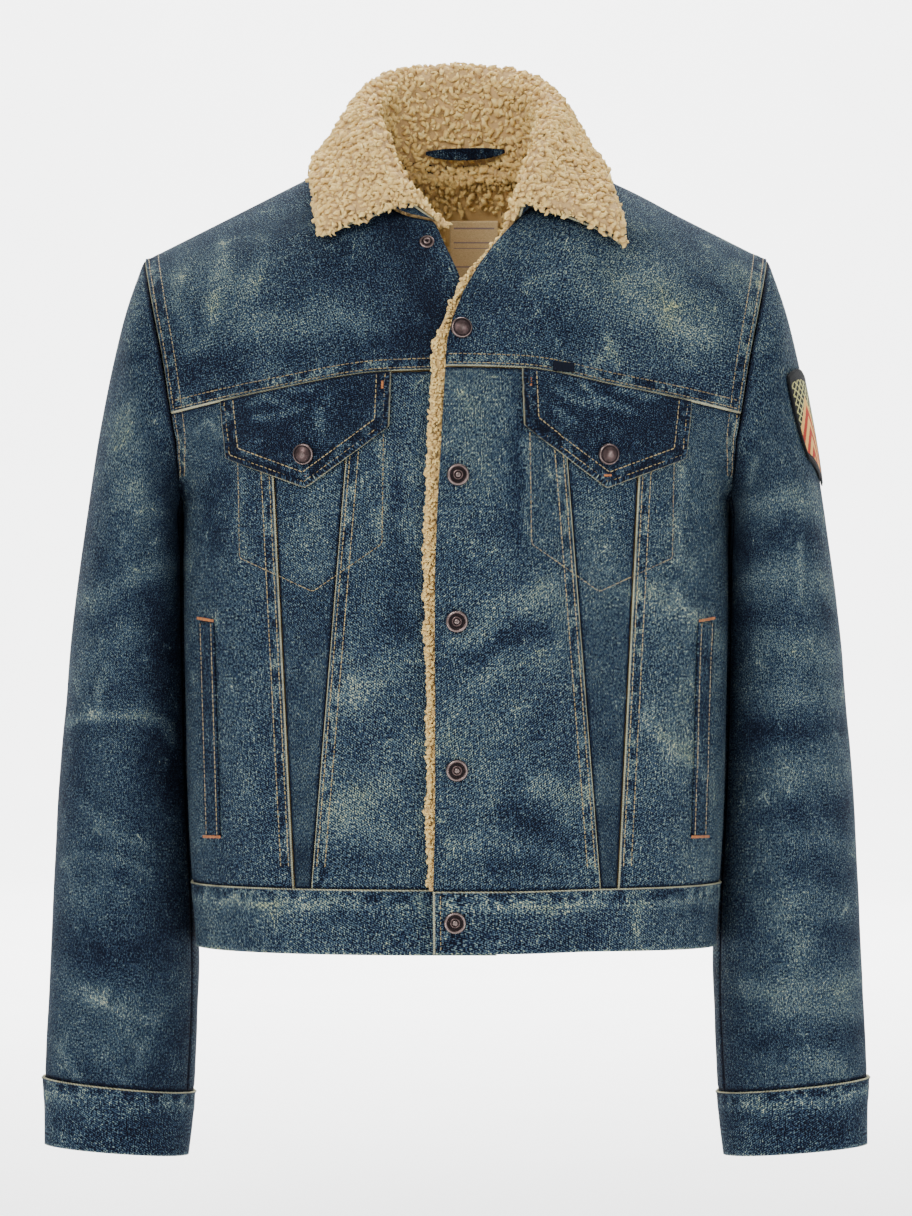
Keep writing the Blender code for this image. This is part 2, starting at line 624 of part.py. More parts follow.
def linings():
    """Pile lining inside the denim: the back, and two fronts that reach past the front edges."""
    look = dict(thickness=LINING, out=-LINING_DEPTH, slot="sherpa")
    low, pit = LOW, ARMPIT_Z - CHEST_Z
    seam = math.pi / 2 + LINING_GAP
    ridge = RIDGE - 0.0035

    def arm(back):
        def line(at):
            at = np.asarray(at, float)
            rise = low - CHEST_Z + (ridge - low + CHEST_Z) * at
            hole = armhole_turn(np.maximum(rise, pit)) - LINING_INSET
            turn = np.minimum(hole, math.pi - seam)
            return np.stack([math.pi - turn if back else turn, rise], axis=-1)

        return line

    neck_from, neck_to = 0.30, 0.70

    def arm_right(at):
        spot = arm(True)(at)
        spot[..., 0] = 2 * math.pi - spot[..., 0]
        return spot

    def top(at):
        first = arm(True)(np.array([1.0]))[0, 0]
        neck = back_neck(np.clip((at - neck_from) / (neck_to - neck_from), 0, 1))
        left_end, right_end = back_neck(np.array([0.0, 1.0]))[:, 0]
        before = first + (left_end - first) * np.clip(at / neck_from, 0, 1)
        after = right_end + (2 * math.pi - first - right_end) * np.clip((at - neck_to) / (1 - neck_to), 0, 1)
        turn = np.where(at < neck_from, before, np.where(at > neck_to, after, neck[..., 0]))
        beside = (at < neck_from) | (at > neck_to)
        return np.stack([turn, np.where(beside, ridge, np.minimum(neck[..., 1], ridge))], axis=-1)

    floor = straight((seam, low - CHEST_Z), (2 * math.pi - seam, low - CHEST_Z))
    body_cloth("lining_back", coons(floor, top, arm(True), arm_right), (18, LINING_ROWS), **look)
    for half in FRONT_SIDES:
        side, edge, neck = half["side"], half["edge"], half["neck"]
        zs = np.linspace(low, neck[0]["z"], 12)
        rows = [(side * (float(read(edge, "z", "x", z)) - side * float(read(edge, "z", "rim", z))), z) for z in zs]
        last = rows[-1]
        curve = [(side * row["x"] + 0.003, row["z"] - half["neck_drop"]) for row in neck[1:]]
        inner = joined(track(rows), track([last] + curve), 0.78)
        start = inner(np.array([0.0]))[0]
        bottom = straight(start, arm(False)(np.array([0.0]))[0])
        neck_turn = float(on_body(NECK_HALF, -0.001)[0])
        top_line = straight((neck_turn, ridge), arm(False)(np.array([1.0]))[0])

        def left(at, inner=inner):
            spot = inner(at)
            spot[..., 1] = np.minimum(spot[..., 1], ridge)
            return spot

        body_cloth(f"lining_front_{half['label']}", coons(bottom, top_line, left, arm(False)), (9, LINING_ROWS),
                   side=side, lifted=half["lifted"], **look)


# ---------------------------------------------------------------- sleeves

def section_ring(row, angle):
    """A level or tilted section: angle 0 is its outer side, 90 the front, 180 the side by the body."""
    outer = np.array([row["outer_x"], 0, row["outer_z"]])
    inner = np.array([row["inner_x"], 0, row["inner_z"]])
    middle = (outer + inner) / 2 + [0, row["mid_y"], 0]
    power = 2 / 2.15
    across = np.sign(np.cos(angle)) * np.abs(np.cos(angle)) ** power
    deep = -np.sign(np.sin(angle)) * np.abs(np.sin(angle)) ** power
    return middle + across[..., None] * (outer - inner) / 2 + deep[..., None] * np.array([0, row["depth"], 0])


def armhole_ring(angle):
    """The armhole's edge, spaced evenly along each half. angle 0 is the shoulder, 90 the front."""
    drop = np.linspace(0, 1, 300)
    rise = RISE_TOP + (ARMPIT_Z - CHEST_Z - RISE_TOP) * drop
    angle = np.mod(angle, 2 * math.pi)
    found = np.zeros(angle.shape + (3,))
    for back in (False, True):
        turn = armhole_turn(rise)
        places = body(math.pi - turn if back else turn, rise)
        far = np.concatenate([[0], np.cumsum(np.linalg.norm(np.diff(places, axis=0), axis=1))])
        share = np.where(angle <= math.pi, angle, 2 * math.pi - angle) / math.pi
        half = np.stack([np.interp(share, far / far[-1], places[:, k]) for k in range(3)], axis=-1)
        found = np.where(((angle > math.pi) == back)[..., None], half, found)
    return found + [0.0006, 0, 0]


def loft(at, keys, rings):
    """Each point's own smooth curve through its place in every ring."""
    keys = np.asarray(keys, float)
    gap = np.diff(keys)
    slope = np.gradient(rings, keys, axis=0)
    i = np.clip(np.searchsorted(keys, at, side="right") - 1, 0, len(keys) - 2)
    each = np.arange(len(at))
    t = ((at - keys[i]) / gap[i])[:, None]
    span = gap[i][:, None]
    return ((1 + 2 * t) * (1 - t) ** 2 * rings[i, each] + t * (1 - t) ** 2 * span * slope[i, each]
            + t * t * (3 - 2 * t) * rings[i + 1, each] - t * t * (1 - t) * span * slope[i + 1, each])


def sleeve_point(angle, down):
    """The sleeve's outer face. down is the share of the way from the armhole to the cuff."""
    angle, down = np.broadcast_arrays(np.asarray(angle, float), np.asarray(down, float))
    shape = angle.shape
    angle, down = angle.ravel(), down.ravel()
    middles = np.array([[(row["outer_x"] + row["inner_x"]) / 2, (row["outer_z"] + row["inner_z"]) / 2]
                        for row in SLEEVE_SECTIONS])
    start = np.array([0.222, -0.172])
    steps = np.linalg.norm(np.diff(np.vstack([start, middles]), axis=0), axis=1)
    keys = np.concatenate([[0], np.cumsum(steps)])
    rings = np.stack([armhole_ring(angle)] + [section_ring(row, angle) for row in SLEEVE_SECTIONS])
    return loft(down, keys / keys[-1], rings).reshape(shape + (3,))


def sleeve_normal(angle, down):
    along = sleeve_point(angle, np.minimum(down + 0.003, 1)) - sleeve_point(angle, np.maximum(down - 0.003, 0))
    around = sleeve_point(angle + 0.01, down) - sleeve_point(angle - 0.01, down)
    normal = np.cross(around, along)
    return normal / np.linalg.norm(normal, axis=-1, keepdims=True)


def mirrored_x(places, side):
    return places * np.array([side, 1, 1])


def sleeves():
    gap = 0.012
    for side, label in ((1, "left"), (-1, "right")):
        for piece, start, end, columns in (("top", SLEEVE_SEAMS["back"] - 360, SLEEVE_SEAMS["front"], 12),
                                           ("under", SLEEVE_SEAMS["front"], SLEEVE_SEAMS["back"], 4)):
            low, high = math.radians(start) + gap, math.radians(end) - gap

            def surface(u, v, side=side, low=low, high=high):
                return mirrored_x(sleeve_point(high + (low - high) * u, 1 - v), side)

            cloth(f"sleeve_{piece}_{label}", surface, (columns, 12), DENIM, mirrored=side < 0)

        def cuff(u, v, side=side):
            angle = -2 * math.pi * u
            rings = np.stack([section_ring(row, angle) for row in CUFF_SECTIONS[::-1]])
            return mirrored_x(loft(v, [0, 0.5, 1], rings), side)

        cloth(f"cuff_{label}", cuff, (22, 1), DOUBLE_DENIM, mirrored=side < 0, closed=True)


def sleeve_patch():
    shape = PATCH

    def surface(u, v):
        down = shape["bottom"] + (shape["top"] - shape["bottom"]) * v + shape["slant"] * u
        narrow = 1 - shape["point"] * (1 - v) ** 3
        middle = (shape["front"] + shape["back"]) / 2
        angle = np.radians(middle + (shape["back"] - shape["front"]) * (u - 0.5) * narrow)
        return sleeve_point(angle, down) + LAYER_GAP * sleeve_normal(angle, down)

    cloth("sleeve_patch", surface, (5, 5), 0.0012, slot="patch_cloth", outward=True)


# ---------------------------------------------------------------- collar

def neck_seam():
    """Places along the neck seam, and their share of the way: -1 right front, 0 back, 1 left front."""
    lift = COLLAR_SEAT
    back_spots = back_neck(np.linspace(1, 0, 25))
    back = body(back_spots[:, 0], back_spots[:, 1], lift)
    fronts_of = {}
    for half in FRONT_SIDES:
        side = half["side"]
        curve = track([(side * row["x"], row["z"]) for row in half["neck"]])(np.linspace(0, 0.94, 14))
        fronts_of[side] = body(side * curve[:, 0], curve[:, 1], lift, half["lifted"])
    return np.vstack([fronts_of[-1], back, fronts_of[1][::-1]])


def collar_lines(s):
    seam = neck_seam()
    far = np.concatenate([[0], np.cumsum(np.linalg.norm(np.diff(seam, axis=0), axis=1))])
    middle = far[len(far) // 2]
    share = np.where(far < middle, far / middle - 1, (far - middle) / (far[-1] - middle))
    seam_at = np.stack([np.interp(s, share, seam[:, k]) for k in range(3)], axis=-1)
    rows = COLLAR_RIGHT[:0:-1] + COLLAR_LEFT
    keys = [-row["s"] for row in COLLAR_RIGHT[:0:-1]] + [row["s"] for row in COLLAR_LEFT]
    lines = [seam_at]
    for line in ("roll", "edge"):
        places = np.array([row[line] for row in rows])
        lines.append(np.stack([smooth(s, keys, places[:, k]) for k in range(3)], axis=-1))
    return lines


def collar_base(s, w):
    """From the neck seam (w = 0) up to the roll line (w = 0.42) and over to the edge (w = 1)."""
    seam, roll, edge = collar_lines(s)
    stand, fall = roll - seam, edge - roll
    rise = np.linalg.norm(stand, axis=-1, keepdims=True)
    drop = np.linalg.norm(fall, axis=-1, keepdims=True)
    over = (edge - seam) * [1, 1, 0]
    over = over / np.linalg.norm(over, axis=-1, keepdims=True)
    up = stand / rise
    bend = over * np.minimum(rise, drop) * 0.75
    t = np.where(w < 0.42, w / 0.42, (w - 0.42) / 0.58)[:, None]
    h00, h10 = (1 + 2 * t) * (1 - t) ** 2, t * (1 - t) ** 2
    h01, h11 = t * t * (3 - 2 * t), -t * t * (1 - t)
    first = h00 * seam + h10 * up * rise * 1.1 + h01 * roll + h11 * bend
    second = h00 * roll + h10 * bend + h01 * edge + h11 * fall * 1.15
    return np.where((w < 0.42)[:, None], first, second)


BODY_SAMPLE = {}


def clear_of_body(places, clearance):
    """Moves any place that is nearer the shoulders than the clearance straight out."""
    if not BODY_SAMPLE:
        turn, rise = np.meshgrid(np.linspace(-math.pi, math.pi, 181), np.linspace(-0.05, RIDGE, 60))
        turn, rise = turn.ravel(), rise.ravel()
        BODY_SAMPLE["places"] = body(turn, rise, 0, (np.cos(turn) > 0) & (np.sin(turn) > -0.1))
        BODY_SAMPLE["normals"] = body_normal(turn, rise)
    near, normals = BODY_SAMPLE["places"], BODY_SAMPLE["normals"]
    far = np.linalg.norm(places[:, None] - near[None], axis=-1)
    closest = far.argmin(axis=1)
    height = ((places - near[closest]) * normals[closest]).sum(axis=-1)
    return places + normals[closest] * np.maximum(clearance - height, 0)[:, None]


def collar_point(s, w, out=0.0):
    base = collar_base(s, w)
    on_fall = ease((w - 0.50) / 0.2)[:, None]
    base = base + (clear_of_body(base, COLLAR_CLEAR) - base) * on_fall
    if np.isscalar(out) and out == 0:
        return base
    return base + collar_normal(s, w) * np.asarray(out)[..., None]


def collar_normal(s, w):
    along = collar_point(np.minimum(s + 0.01, 1), w) - collar_point(np.maximum(s - 0.01, -1), w)
    across = collar_point(s, np.minimum(w + 0.01, 1)) - collar_point(s, np.maximum(w - 0.01, 0))
    normal = np.cross(along, across)
    return normal / np.linalg.norm(normal, axis=-1, keepdims=True)


def collar():
    def upper(u, v):
        return collar_point(2 * u - 1, v, 0.0009)

    def under(u, v):
        return collar_point(2 * u - 1, v, -0.0003)

    cloth("collar_upper", upper, (20, COLLAR_ROWS[1:]), COLLAR_PILE, slot="sherpa", outward=True)
    cloth("collar_under", under, (20, COLLAR_ROWS), DENIM)


# ---------------------------------------------------------------- small pieces

def flap_patch():
    inner, outer, point = FLAP["inner"], FLAP["outer"], FLAP["point"]
    top = [(x, float(yoke_z(x)) - 0.0015) for x in np.linspace(inner[0], outer[0], 7)]
    return coons(joined(track([inner[1], point]), track([point, outer[1]]), 0.5), track(top),
                 track([inner[1], top[0]]), track([outer[1], top[-1]]))


def trims():
    for side, label in ((1, "left"), (-1, "right")):
        lifted = side > 0
        body_cloth(f"pocket_flap_{label}", flap_patch(), (8, 4), DOUBLE_DENIM, side=side, lifted=lifted,
                   out=0.0008, outward=True)
        welt = coons(track([WELT["inner"][1], WELT["outer"][1]]), track([WELT["inner"][0], WELT["outer"][0]]),
                     track(WELT["inner"][::-1]), track(WELT["outer"][::-1]))
        body_cloth(f"pocket_welt_{label}", welt, (2, 8), DENIM, side=side, lifted=lifted,
                   out=LAYER_GAP, outward=True)
    left, right, top, low = TAB["left"], TAB["right"], TAB["top"], TAB["bottom"]
    tab = coons(track([(left, low), (right, low)]), track([(left, top), (right, top)]),
                track([(left, low), (left, top)]), track([(right, low), (right, top)]))
    body_cloth("seam_tab", tab, (2, 3), 0.0010, slot="tab_cloth", lifted=True, outward=True,
               out=LAYER_GAP)
    inside = -(LINING_DEPTH + LINING + 0.0022)
    left, right, top, low = LABEL["left"], LABEL["right"], LABEL["top"], LABEL["bottom"]
    label = coons(track([(left, low), (right, low)], True), track([(left, top), (right, top)], True),
                  track([(left, low), (left, top)], True), track([(right, low), (right, top)], True))
    body_cloth("neck_label", label, (3, 4), 0.0010, slot="label_cloth", out=inside)

    def loop(u, v):
        s = LOOP["start"] + (LOOP["end"] - LOOP["start"]) * u
        bow = LOOP["bow"] * np.sin(math.pi * u) ** 0.7
        return collar_point(s, LOOP["low"] + (LOOP["high"] - LOOP["low"]) * v, COLLAR_PILE + 0.0016 + bow)

    cloth("hanger_loop", loop, (7, 1), 0.0018, outward=True)


def snaps():
    def stand(x, z, out, lifted):
        turn, rise = spot_of(x, z)
        return body(turn, rise, out, lifted), body_normal(turn, rise)

    cap = [(0, 0.0034), (0.0034, 0.0032), (0.0048, 0.0025), (0.0074, 0.0030), (SNAP_RADIUS, 0.0022),
           (0.0084, 0), (0, 0)]
    dome = [(0, 0.0042), (0.0035, 0.0039), (0.0068, 0.0028), (0.0086, 0.0012), (0.0083, 0), (0, 0)]
    socket = [(0, 0.0022), (0.0024, 0.0022), (0.0030, 0.0008), (0.0060, 0.0006), (0.0060, 0), (0, 0)]
    seat = LAYER_GAP
    for row in FRONT_SNAPS:
        place, normal = stand(row["x"], row["z"], seat + row["out"], True)
        turned(row["name"], dome if row["plain"] else cap, place, normal)
    for side, label in ((1, "left"), (-1, "right")):
        place, normal = stand(side * FLAP_SNAP["x"], FLAP_SNAP["z"], DOUBLE_DENIM + 0.0008 + seat + 0.0002, side > 0)
        turned(f"snap_flap_{label}", dome, place, normal)
    place, normal = stand(STUD["x"], STUD["z"], 0.0, False)
    turned("snap_stud", socket, place, normal)


def clear_scene():
    for old in list(bpy.data.objects):
        bpy.data.objects.remove(old)
    made = bpy.data.collections.new("sherpa_lined_jacket")
    bpy.context.scene.collection.children.link(made)


def main():
    clear_scene()
    fronts()
    front_yokes()
    backs()
    body_cloth("back_yoke", over_back(BACK_YOKE_Z), (20, 7))
    waistband()
    linings()
    sleeves()
    sleeve_patch()
    collar()
    trims()
    snaps()


main()
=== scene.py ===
import math

import bmesh
import bpy
import numpy as np
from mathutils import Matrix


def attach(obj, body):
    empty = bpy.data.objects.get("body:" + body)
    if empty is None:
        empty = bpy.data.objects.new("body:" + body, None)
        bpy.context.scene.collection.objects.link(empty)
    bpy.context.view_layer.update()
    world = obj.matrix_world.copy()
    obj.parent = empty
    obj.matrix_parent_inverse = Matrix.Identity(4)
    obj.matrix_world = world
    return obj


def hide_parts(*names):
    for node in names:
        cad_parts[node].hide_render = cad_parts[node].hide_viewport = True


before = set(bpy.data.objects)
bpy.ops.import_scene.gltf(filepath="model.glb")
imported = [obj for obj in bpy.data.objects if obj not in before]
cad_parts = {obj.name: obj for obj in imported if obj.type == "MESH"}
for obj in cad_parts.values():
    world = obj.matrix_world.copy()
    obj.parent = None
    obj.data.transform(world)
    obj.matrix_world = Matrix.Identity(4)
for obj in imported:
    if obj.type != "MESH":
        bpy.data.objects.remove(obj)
dice = np.random.default_rng(11)
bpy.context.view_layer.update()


# A table's rows, each a dict under the same names.
def rowsOf(names, rows):
    return [dict(zip(names.split(), row)) for row in rows]


# The body is one smooth surface, read by turn (the angle round it, 0 at the front centre)
# and rise (the height along the cloth from the chest line). Every panel is an outline on it.
denimThick = 0.0016
doubleDenim = 0.0028
seamGap = 0.0006
layerGap = 0.0005
liningThick = 0.0045
liningDepth = denimThick + 0.0028
liningGap = 0.0100
liningInset = 0.0300
holeReach = 0.15  # metres of cloth to a radian of turn at the armhole
sideReach = 0.13  # and beside it
collarSeat = 0.0034
collarClear = 0.0066
collarPile = 0.0095
chestZ = -0.220
hemZ = -0.600
waistSeamZ = -0.5525
armpitZ = -0.265
pit = armpitZ - chestZ
lowZ = waistSeamZ + seamGap
lowRise = lowZ - chestZ
halfGap = seamGap / 2
neckHalf = 0.075
shoulderSlope = 0.505
napeRise = 0.020
riseTop = 0.240
ridgeRise = riseTop - 0.0010
squareness = 2.3
frontArch = (1.6, 1.8)
backArch = (3.0, 2.0)
armholeDeep = 0.60
armholeFull = 0.050
overlapLift = 0.0106
liftFlat = 0.050
liftEnd = 0.125
bodySections = rowsOf("z halfWidth front back", [
    (-0.600, 0.1965, 0.114, 0.104),
    (-0.5525, 0.2000, 0.118, 0.106),
    (-0.490, 0.2035, 0.121, 0.108),
    (-0.420, 0.2050, 0.124, 0.110),
    (-0.350, 0.2065, 0.127, 0.112),
    (-0.265, 0.2070, 0.129, 0.114),
    (-0.220, 0.2085, 0.129, 0.115),
])
armholeLine = rowsOf("share x", [
    (0.00, 0.2085),
    (0.13, 0.2120),
    (0.41, 0.2190),
    (0.66, 0.2265),
    (0.90, 0.2335),
    (1.00, 0.2365),
])
leftEdge = rowsOf("z x rim", [
    (-0.5525, -0.0165, 0.0050),
    (-0.500, -0.0152, 0.0090),
    (-0.420, -0.0150, 0.0095),
    (-0.340, -0.0154, 0.0120),
    (-0.250, -0.0125, 0.0140),
    (-0.190, -0.0085, 0.0160),
    (-0.155, -0.0070, 0.0155),
    (-0.130, -0.0005, 0.0140),
    (-0.106, 0.0110, 0.0110),
    (-0.085, 0.0250, 0.0100),
    (-0.062, 0.0456, 0.0090),
])
rightEdge = rowsOf("z x rim", [
    (-0.5525, 0.0305, 0.0036),
    (-0.180, 0.0305, 0.0036),
    (-0.140, 0.0172, 0.0038),
    (-0.103, 0.0034, 0.0040),
    (-0.093, 0.0000, 0.0040),
    (-0.078, -0.0073, 0.0040),
    (-0.058, -0.0160, 0.0040),
])
leftNeck = rowsOf("x z", [(0.0456, -0.0620), (0.0620, -0.0450), (0.0720, -0.0200), (0.0750, 0.0)])
rightNeck = rowsOf("x z", [
    (-0.0160, -0.0580), (-0.0380, -0.0535), (-0.0600, -0.0420), (-0.0715, -0.0200), (-0.0750, 0.0)])
yokeSeam = rowsOf("x z", [(-0.03, -0.1700), (0.05, -0.1720), (0.14, -0.1860), (0.22, -0.2020)])
wedgeInner = dict(yoke=0.0760, waist=0.1070)
wedgeOuter = dict(yoke=0.1375, waist=0.1190)
backYokeZ = -0.150
backSeam = dict(yoke=0.0950, waist=0.0620)
flap = dict(inner=[0.0490, (0.0505, -0.2120)], point=(0.1100, -0.2550), outer=[0.1715, (0.1670, -0.2330)])
welt = dict(inner=[(0.1790, -0.3560), (0.1745, -0.5140)], outer=[(0.1905, -0.3560), (0.1860, -0.5140)])
tab = dict(left=0.0700, right=0.0855, top=-0.1670, bottom=-0.1735)
label = dict(left=-0.0050, right=0.0340, top=-0.0390, bottom=-0.0960)
loopRow = dict(start=-0.11, end=0.20, low=0.025, high=0.075, bow=0.0040)
sleeveSections = rowsOf("outerX outerZ innerX innerZ depth midY", [
    (0.2470, -0.1110, 0.2100, -0.2780, 0.0760, 0.000),
    (0.2603, -0.1600, 0.2098, -0.2960, 0.0770, 0.006),
    (0.2698, -0.2050, 0.2090, -0.3100, 0.0770, 0.012),
    (0.2790, -0.2600, 0.2080, -0.3300, 0.0760, 0.018),
    (0.2911, -0.3420, 0.2055, -0.3750, 0.0730, 0.026),
    (0.2990, -0.4200, 0.2040, -0.4350, 0.0680, 0.031),
    (0.3050, -0.4900, 0.2020, -0.4980, 0.0620, 0.034),
    (0.3090, -0.5650, 0.1985, -0.5720, 0.0550, 0.036),
    (0.3120, -0.6300, 0.1975, -0.6380, 0.0480, 0.036),
    (0.3155, -0.7030, 0.2010, -0.7145, 0.0400, 0.035),
])
cuffSections = rowsOf("outerX outerZ innerX innerZ depth midY", [
    (0.3172, -0.7036, 0.2002, -0.7151, 0.0400, 0.035),
    (0.3160, -0.7290, 0.2020, -0.7390, 0.0365, 0.034),
    (0.3158, -0.7555, 0.2050, -0.7638, 0.0340, 0.033),
])
sleeveSeams = dict(front=158.0, back=250.0)
patchRow = dict(front=58.0, back=6.0, top=0.082, bottom=0.180, slant=0.040, point=0.45)
collarLeft = rowsOf("s roll edge", [
    (0.00, (0.000, 0.064, 0.068), (0.000, 0.103, -0.016)),
    (0.20, (0.041, 0.054, 0.063), (0.062, 0.088, -0.013)),
    (0.37, (0.065, 0.028, 0.049), (0.093, 0.050, -0.003)),
    (0.51, (0.073, -0.006, 0.030), (0.104, 0.004, -0.009)),
    (0.66, (0.068, -0.038, 0.009), (0.110, -0.036, -0.028)),
    (0.82, (0.060, -0.066, -0.018), (0.116, -0.062, -0.049)),
    (1.00, (0.051, -0.090, -0.045), (0.122, -0.082, -0.076)),
])
collarRight = rowsOf("s roll edge", [
    (0.00, (0.000, 0.064, 0.068), (0.000, 0.103, -0.016)),
    (0.20, (-0.041, 0.054, 0.063), (-0.062, 0.088, -0.013)),
    (0.37, (-0.063, 0.028, 0.049), (-0.092, 0.050, -0.003)),
    (0.51, (-0.068, -0.006, 0.030), (-0.102, 0.004, -0.009)),
    (0.66, (-0.061, -0.038, 0.009), (-0.104, -0.036, -0.028)),
    (0.82, (-0.050, -0.062, -0.018), (-0.102, -0.062, -0.048)),
    (1.00, (-0.036, -0.080, -0.044), (-0.097, -0.080, -0.070)),
])
frontSnaps = rowsOf("name x z out plain", [
    ("snap_front_1", 0.0040, -0.1435, 0.0, True),
    ("snap_front_2", 0.0015, -0.2480, 0.0, False),
    ("snap_front_3", 0.0007, -0.3545, 0.0, False),
    ("snap_front_4", 0.0007, -0.4630, 0.0, False),
    ("snap_waist", -0.0007, -0.5740, 0.0006, False),
])
flapSnap = dict(x=0.1105, z=-0.2320)
stud = dict(x=-0.0215, z=-0.0740)


# One named value from every row of a table.
def column(table, name):
    return np.array([row[name] for row in table], float)


# From a to b as t goes from 0 to 1, leaving and arriving by the two slopes times the span.
def hermite(t, span, a, b, leave, arrive):
    return ((1 + 2 * t) * (1 - t) ** 2 * a + t * (1 - t) ** 2 * span * leave
            + t * t * (3 - 2 * t) * b - t * t * (1 - t) * span * arrive)


# A curve through keyed values that never overshoots: its slopes are the harmonic means of the gaps'.
def smooth(at, keys, values):
    keys, values = np.asarray(keys, float), np.asarray(values, float)
    gap = np.diff(keys)
    slope = np.diff(values) / gap
    before, after = slope[:-1], slope[1:]
    level = before * after <= 0
    mean = 2 * before * after / np.where(level, 1, before + after)
    tangent = np.concatenate([[slope[0]], np.where(level, 0, mean), [slope[-1]]])
    at = np.clip(at, keys[0], keys[-1])
    i = np.clip(np.searchsorted(keys, at, side="right") - 1, 0, len(keys) - 2)
    t = (at - keys[i]) / gap[i]
    return hermite(t, gap[i], values[i], values[i + 1], tangent[i], tangent[i + 1])


# A table's value at a key, read on the smooth curve through its rows.
def readAt(table, key, name, at):
    return smooth(at, column(table, key), column(table, name))


# Vectors drawn to length 1.
def unit(vectors):
    return vectors / np.linalg.norm(vectors, axis=-1, keepdims=True)


# Every pair of two sets of numbers, as two flat arrays.
def pairs(first, second):
    return [part.ravel() for part in np.meshgrid(first, second, indexing="ij")]


# The place in a run of places at each key, read straight between its points.
def readRun(at, keys, places):
    return np.stack([np.interp(at, keys, places[:, k]) for k in range(3)], axis=-1)


# The way gone at each point of a run, from 0.
def farAlong(points):
    return np.concatenate([[0], np.cumsum(np.linalg.norm(np.diff(points, axis=0), axis=1))])


# 1 where x is at the place given, falling off to both sides as e to the minus square of x over wide.
def hump(x, at, wide):
    return np.exp(-((x - at) / wide) ** 2)


# 0 to 1 with level ends: 3 t squared less 2 t cubed.
def ease(t):
    t = np.clip(t, 0, 1)
    return t * t * (3 - 2 * t)


# (share of the way up to the ridge, share of the depth left) along the arch.
def climb(rise, powers):
    angle = np.clip(rise / riseTop, 0, 1) * math.pi / 2
    return np.sin(angle) ** (2 / powers[0]), np.cos(angle) ** (2 / powers[1])


# How far the armhole reaches towards the front, as a share of the section's depth.
def armholeShare(rise):
    t = np.clip((rise - pit) / (armholeFull - pit), 0, 1)
    return armholeDeep * np.sqrt(1 - (1 - t) ** 2)


# Half the body's width: such that its section passes through the armhole's line above the pit.
def halfWidth(rise, shareUp):
    low = readAt(bodySections, "z", "halfWidth", chestZ + np.minimum(rise, 0))
    armholeX = np.where(rise > 0, readAt(armholeLine, "share", "x", shareUp), low)
    return armholeX / (1 - armholeShare(rise) ** squareness) ** (1 / squareness)


# The shoulder falls by the slope times the distance out from the neck.
def ridgeDrop(x):
    return shoulderSlope * np.maximum(np.abs(x) - neckHalf, 0)


# The nape rises as a parabola between the two neck points.
def nape(x):
    return napeRise * np.maximum(1 - (x / neckHalf) ** 2, 0)


# The body's outer face with nothing lifted: sections whose width and depth are sine and cosine
# to the power 2 over squareness, drawn in and raised along the arch above the chest.
def bodyBase(turn, rise):
    turn, rise = np.broadcast_arrays(np.asarray(turn, float), np.asarray(rise, float))
    front = np.cos(turn) > 0
    upF, deepF = climb(rise, frontArch)
    upB, deepB = climb(rise, backArch)
    up, deep = np.where(front, upF, upB), np.where(front, deepF, deepB)
    zLow = chestZ + np.minimum(rise, 0)
    depth = np.where(front, -readAt(bodySections, "z", "front", zLow),
                     readAt(bodySections, "z", "back", zLow))
    across = np.abs(np.sin(turn)) ** (2 / squareness)
    x = halfWidth(rise, up) * np.sign(np.sin(turn)) * across
    y = depth * np.abs(np.cos(turn)) ** (2 / squareness) * deep
    height = -chestZ - ridgeDrop(x) + np.where(front, 0, nape(x))
    return np.stack([x, y, zLow + up * height], axis=-1)


# The cross product of small steps round the body and up it.
def bodyNormal(turn, rise):
    step = 1e-3
    turn, rise = np.broadcast_arrays(np.asarray(turn, float), np.asarray(rise, float))
    side = bodyBase(turn + step, rise) - bodyBase(turn - step, rise)
    top = riseTop - 2e-4
    upward = bodyBase(turn, np.minimum(rise, top) + 1e-4) - bodyBase(turn, np.minimum(rise, top) - 1e-4)
    return unit(np.cross(side, upward))


# How far the wearer's left front stands off the body near its edge, to lie over the right.
def liftOf(x, z):
    fromEdge = x - readAt(leftEdge, "z", "x", z)
    near = 1 - ease((fromEdge - liftFlat) / (liftEnd - liftFlat))
    return overlapLift * near * (1 - ease((z + 0.075) / 0.060))


# The body's base, moved along its normal by out and, on the left front, by the lap's lift.
def bodyAt(turn, rise, out=0.0, lifted=False):
    base = bodyBase(turn, rise)
    out = out + np.where(lifted, liftOf(base[..., 0], base[..., 2]), 0)
    return base + bodyNormal(turn, rise) * np.asarray(out)[..., None]


# (turn, rise) of the point that shows at x and z from the front, or from the back.
def onBody(x, z, back=False):
    x, z = np.broadcast_arrays(np.asarray(x, float), np.asarray(z, float))
    powers = backArch if back else frontArch
    height = -chestZ - ridgeDrop(x) + (nape(x) if back else 0)
    share = np.clip((z - chestZ) / height, 0, 1)
    rise = np.where(z > chestZ, riseTop * np.arcsin(share ** (powers[0] / 2)) * 2 / math.pi, z - chestZ)
    across = np.clip(np.abs(x) / halfWidth(rise, climb(rise, powers)[0]), 0, 1)
    turn = np.sign(x) * np.arcsin(across ** (squareness / 2))
    return (math.pi - turn if back else turn), rise


# The turn at which a section of this squareness reaches the armhole's share of its depth.
def armholeTurn(rise):
    return np.arccos(armholeShare(rise) ** (squareness / 2))


# A line on the body through rows of (x, z), as a function of the share of the rows passed.
def track(rows, back=False):
    x, z = np.array(rows, float).T
    t = np.linspace(0, 1, len(x))

    def line(at):
        return np.stack(onBody(np.interp(at, t, x), np.interp(at, t, z), back), axis=-1)

    return line


# A line across the body at z, a number or a function of x, through these x.
def levelLine(z, xs, back=False):
    return track([(x, z(x) if callable(z) else z) for x in xs], back)


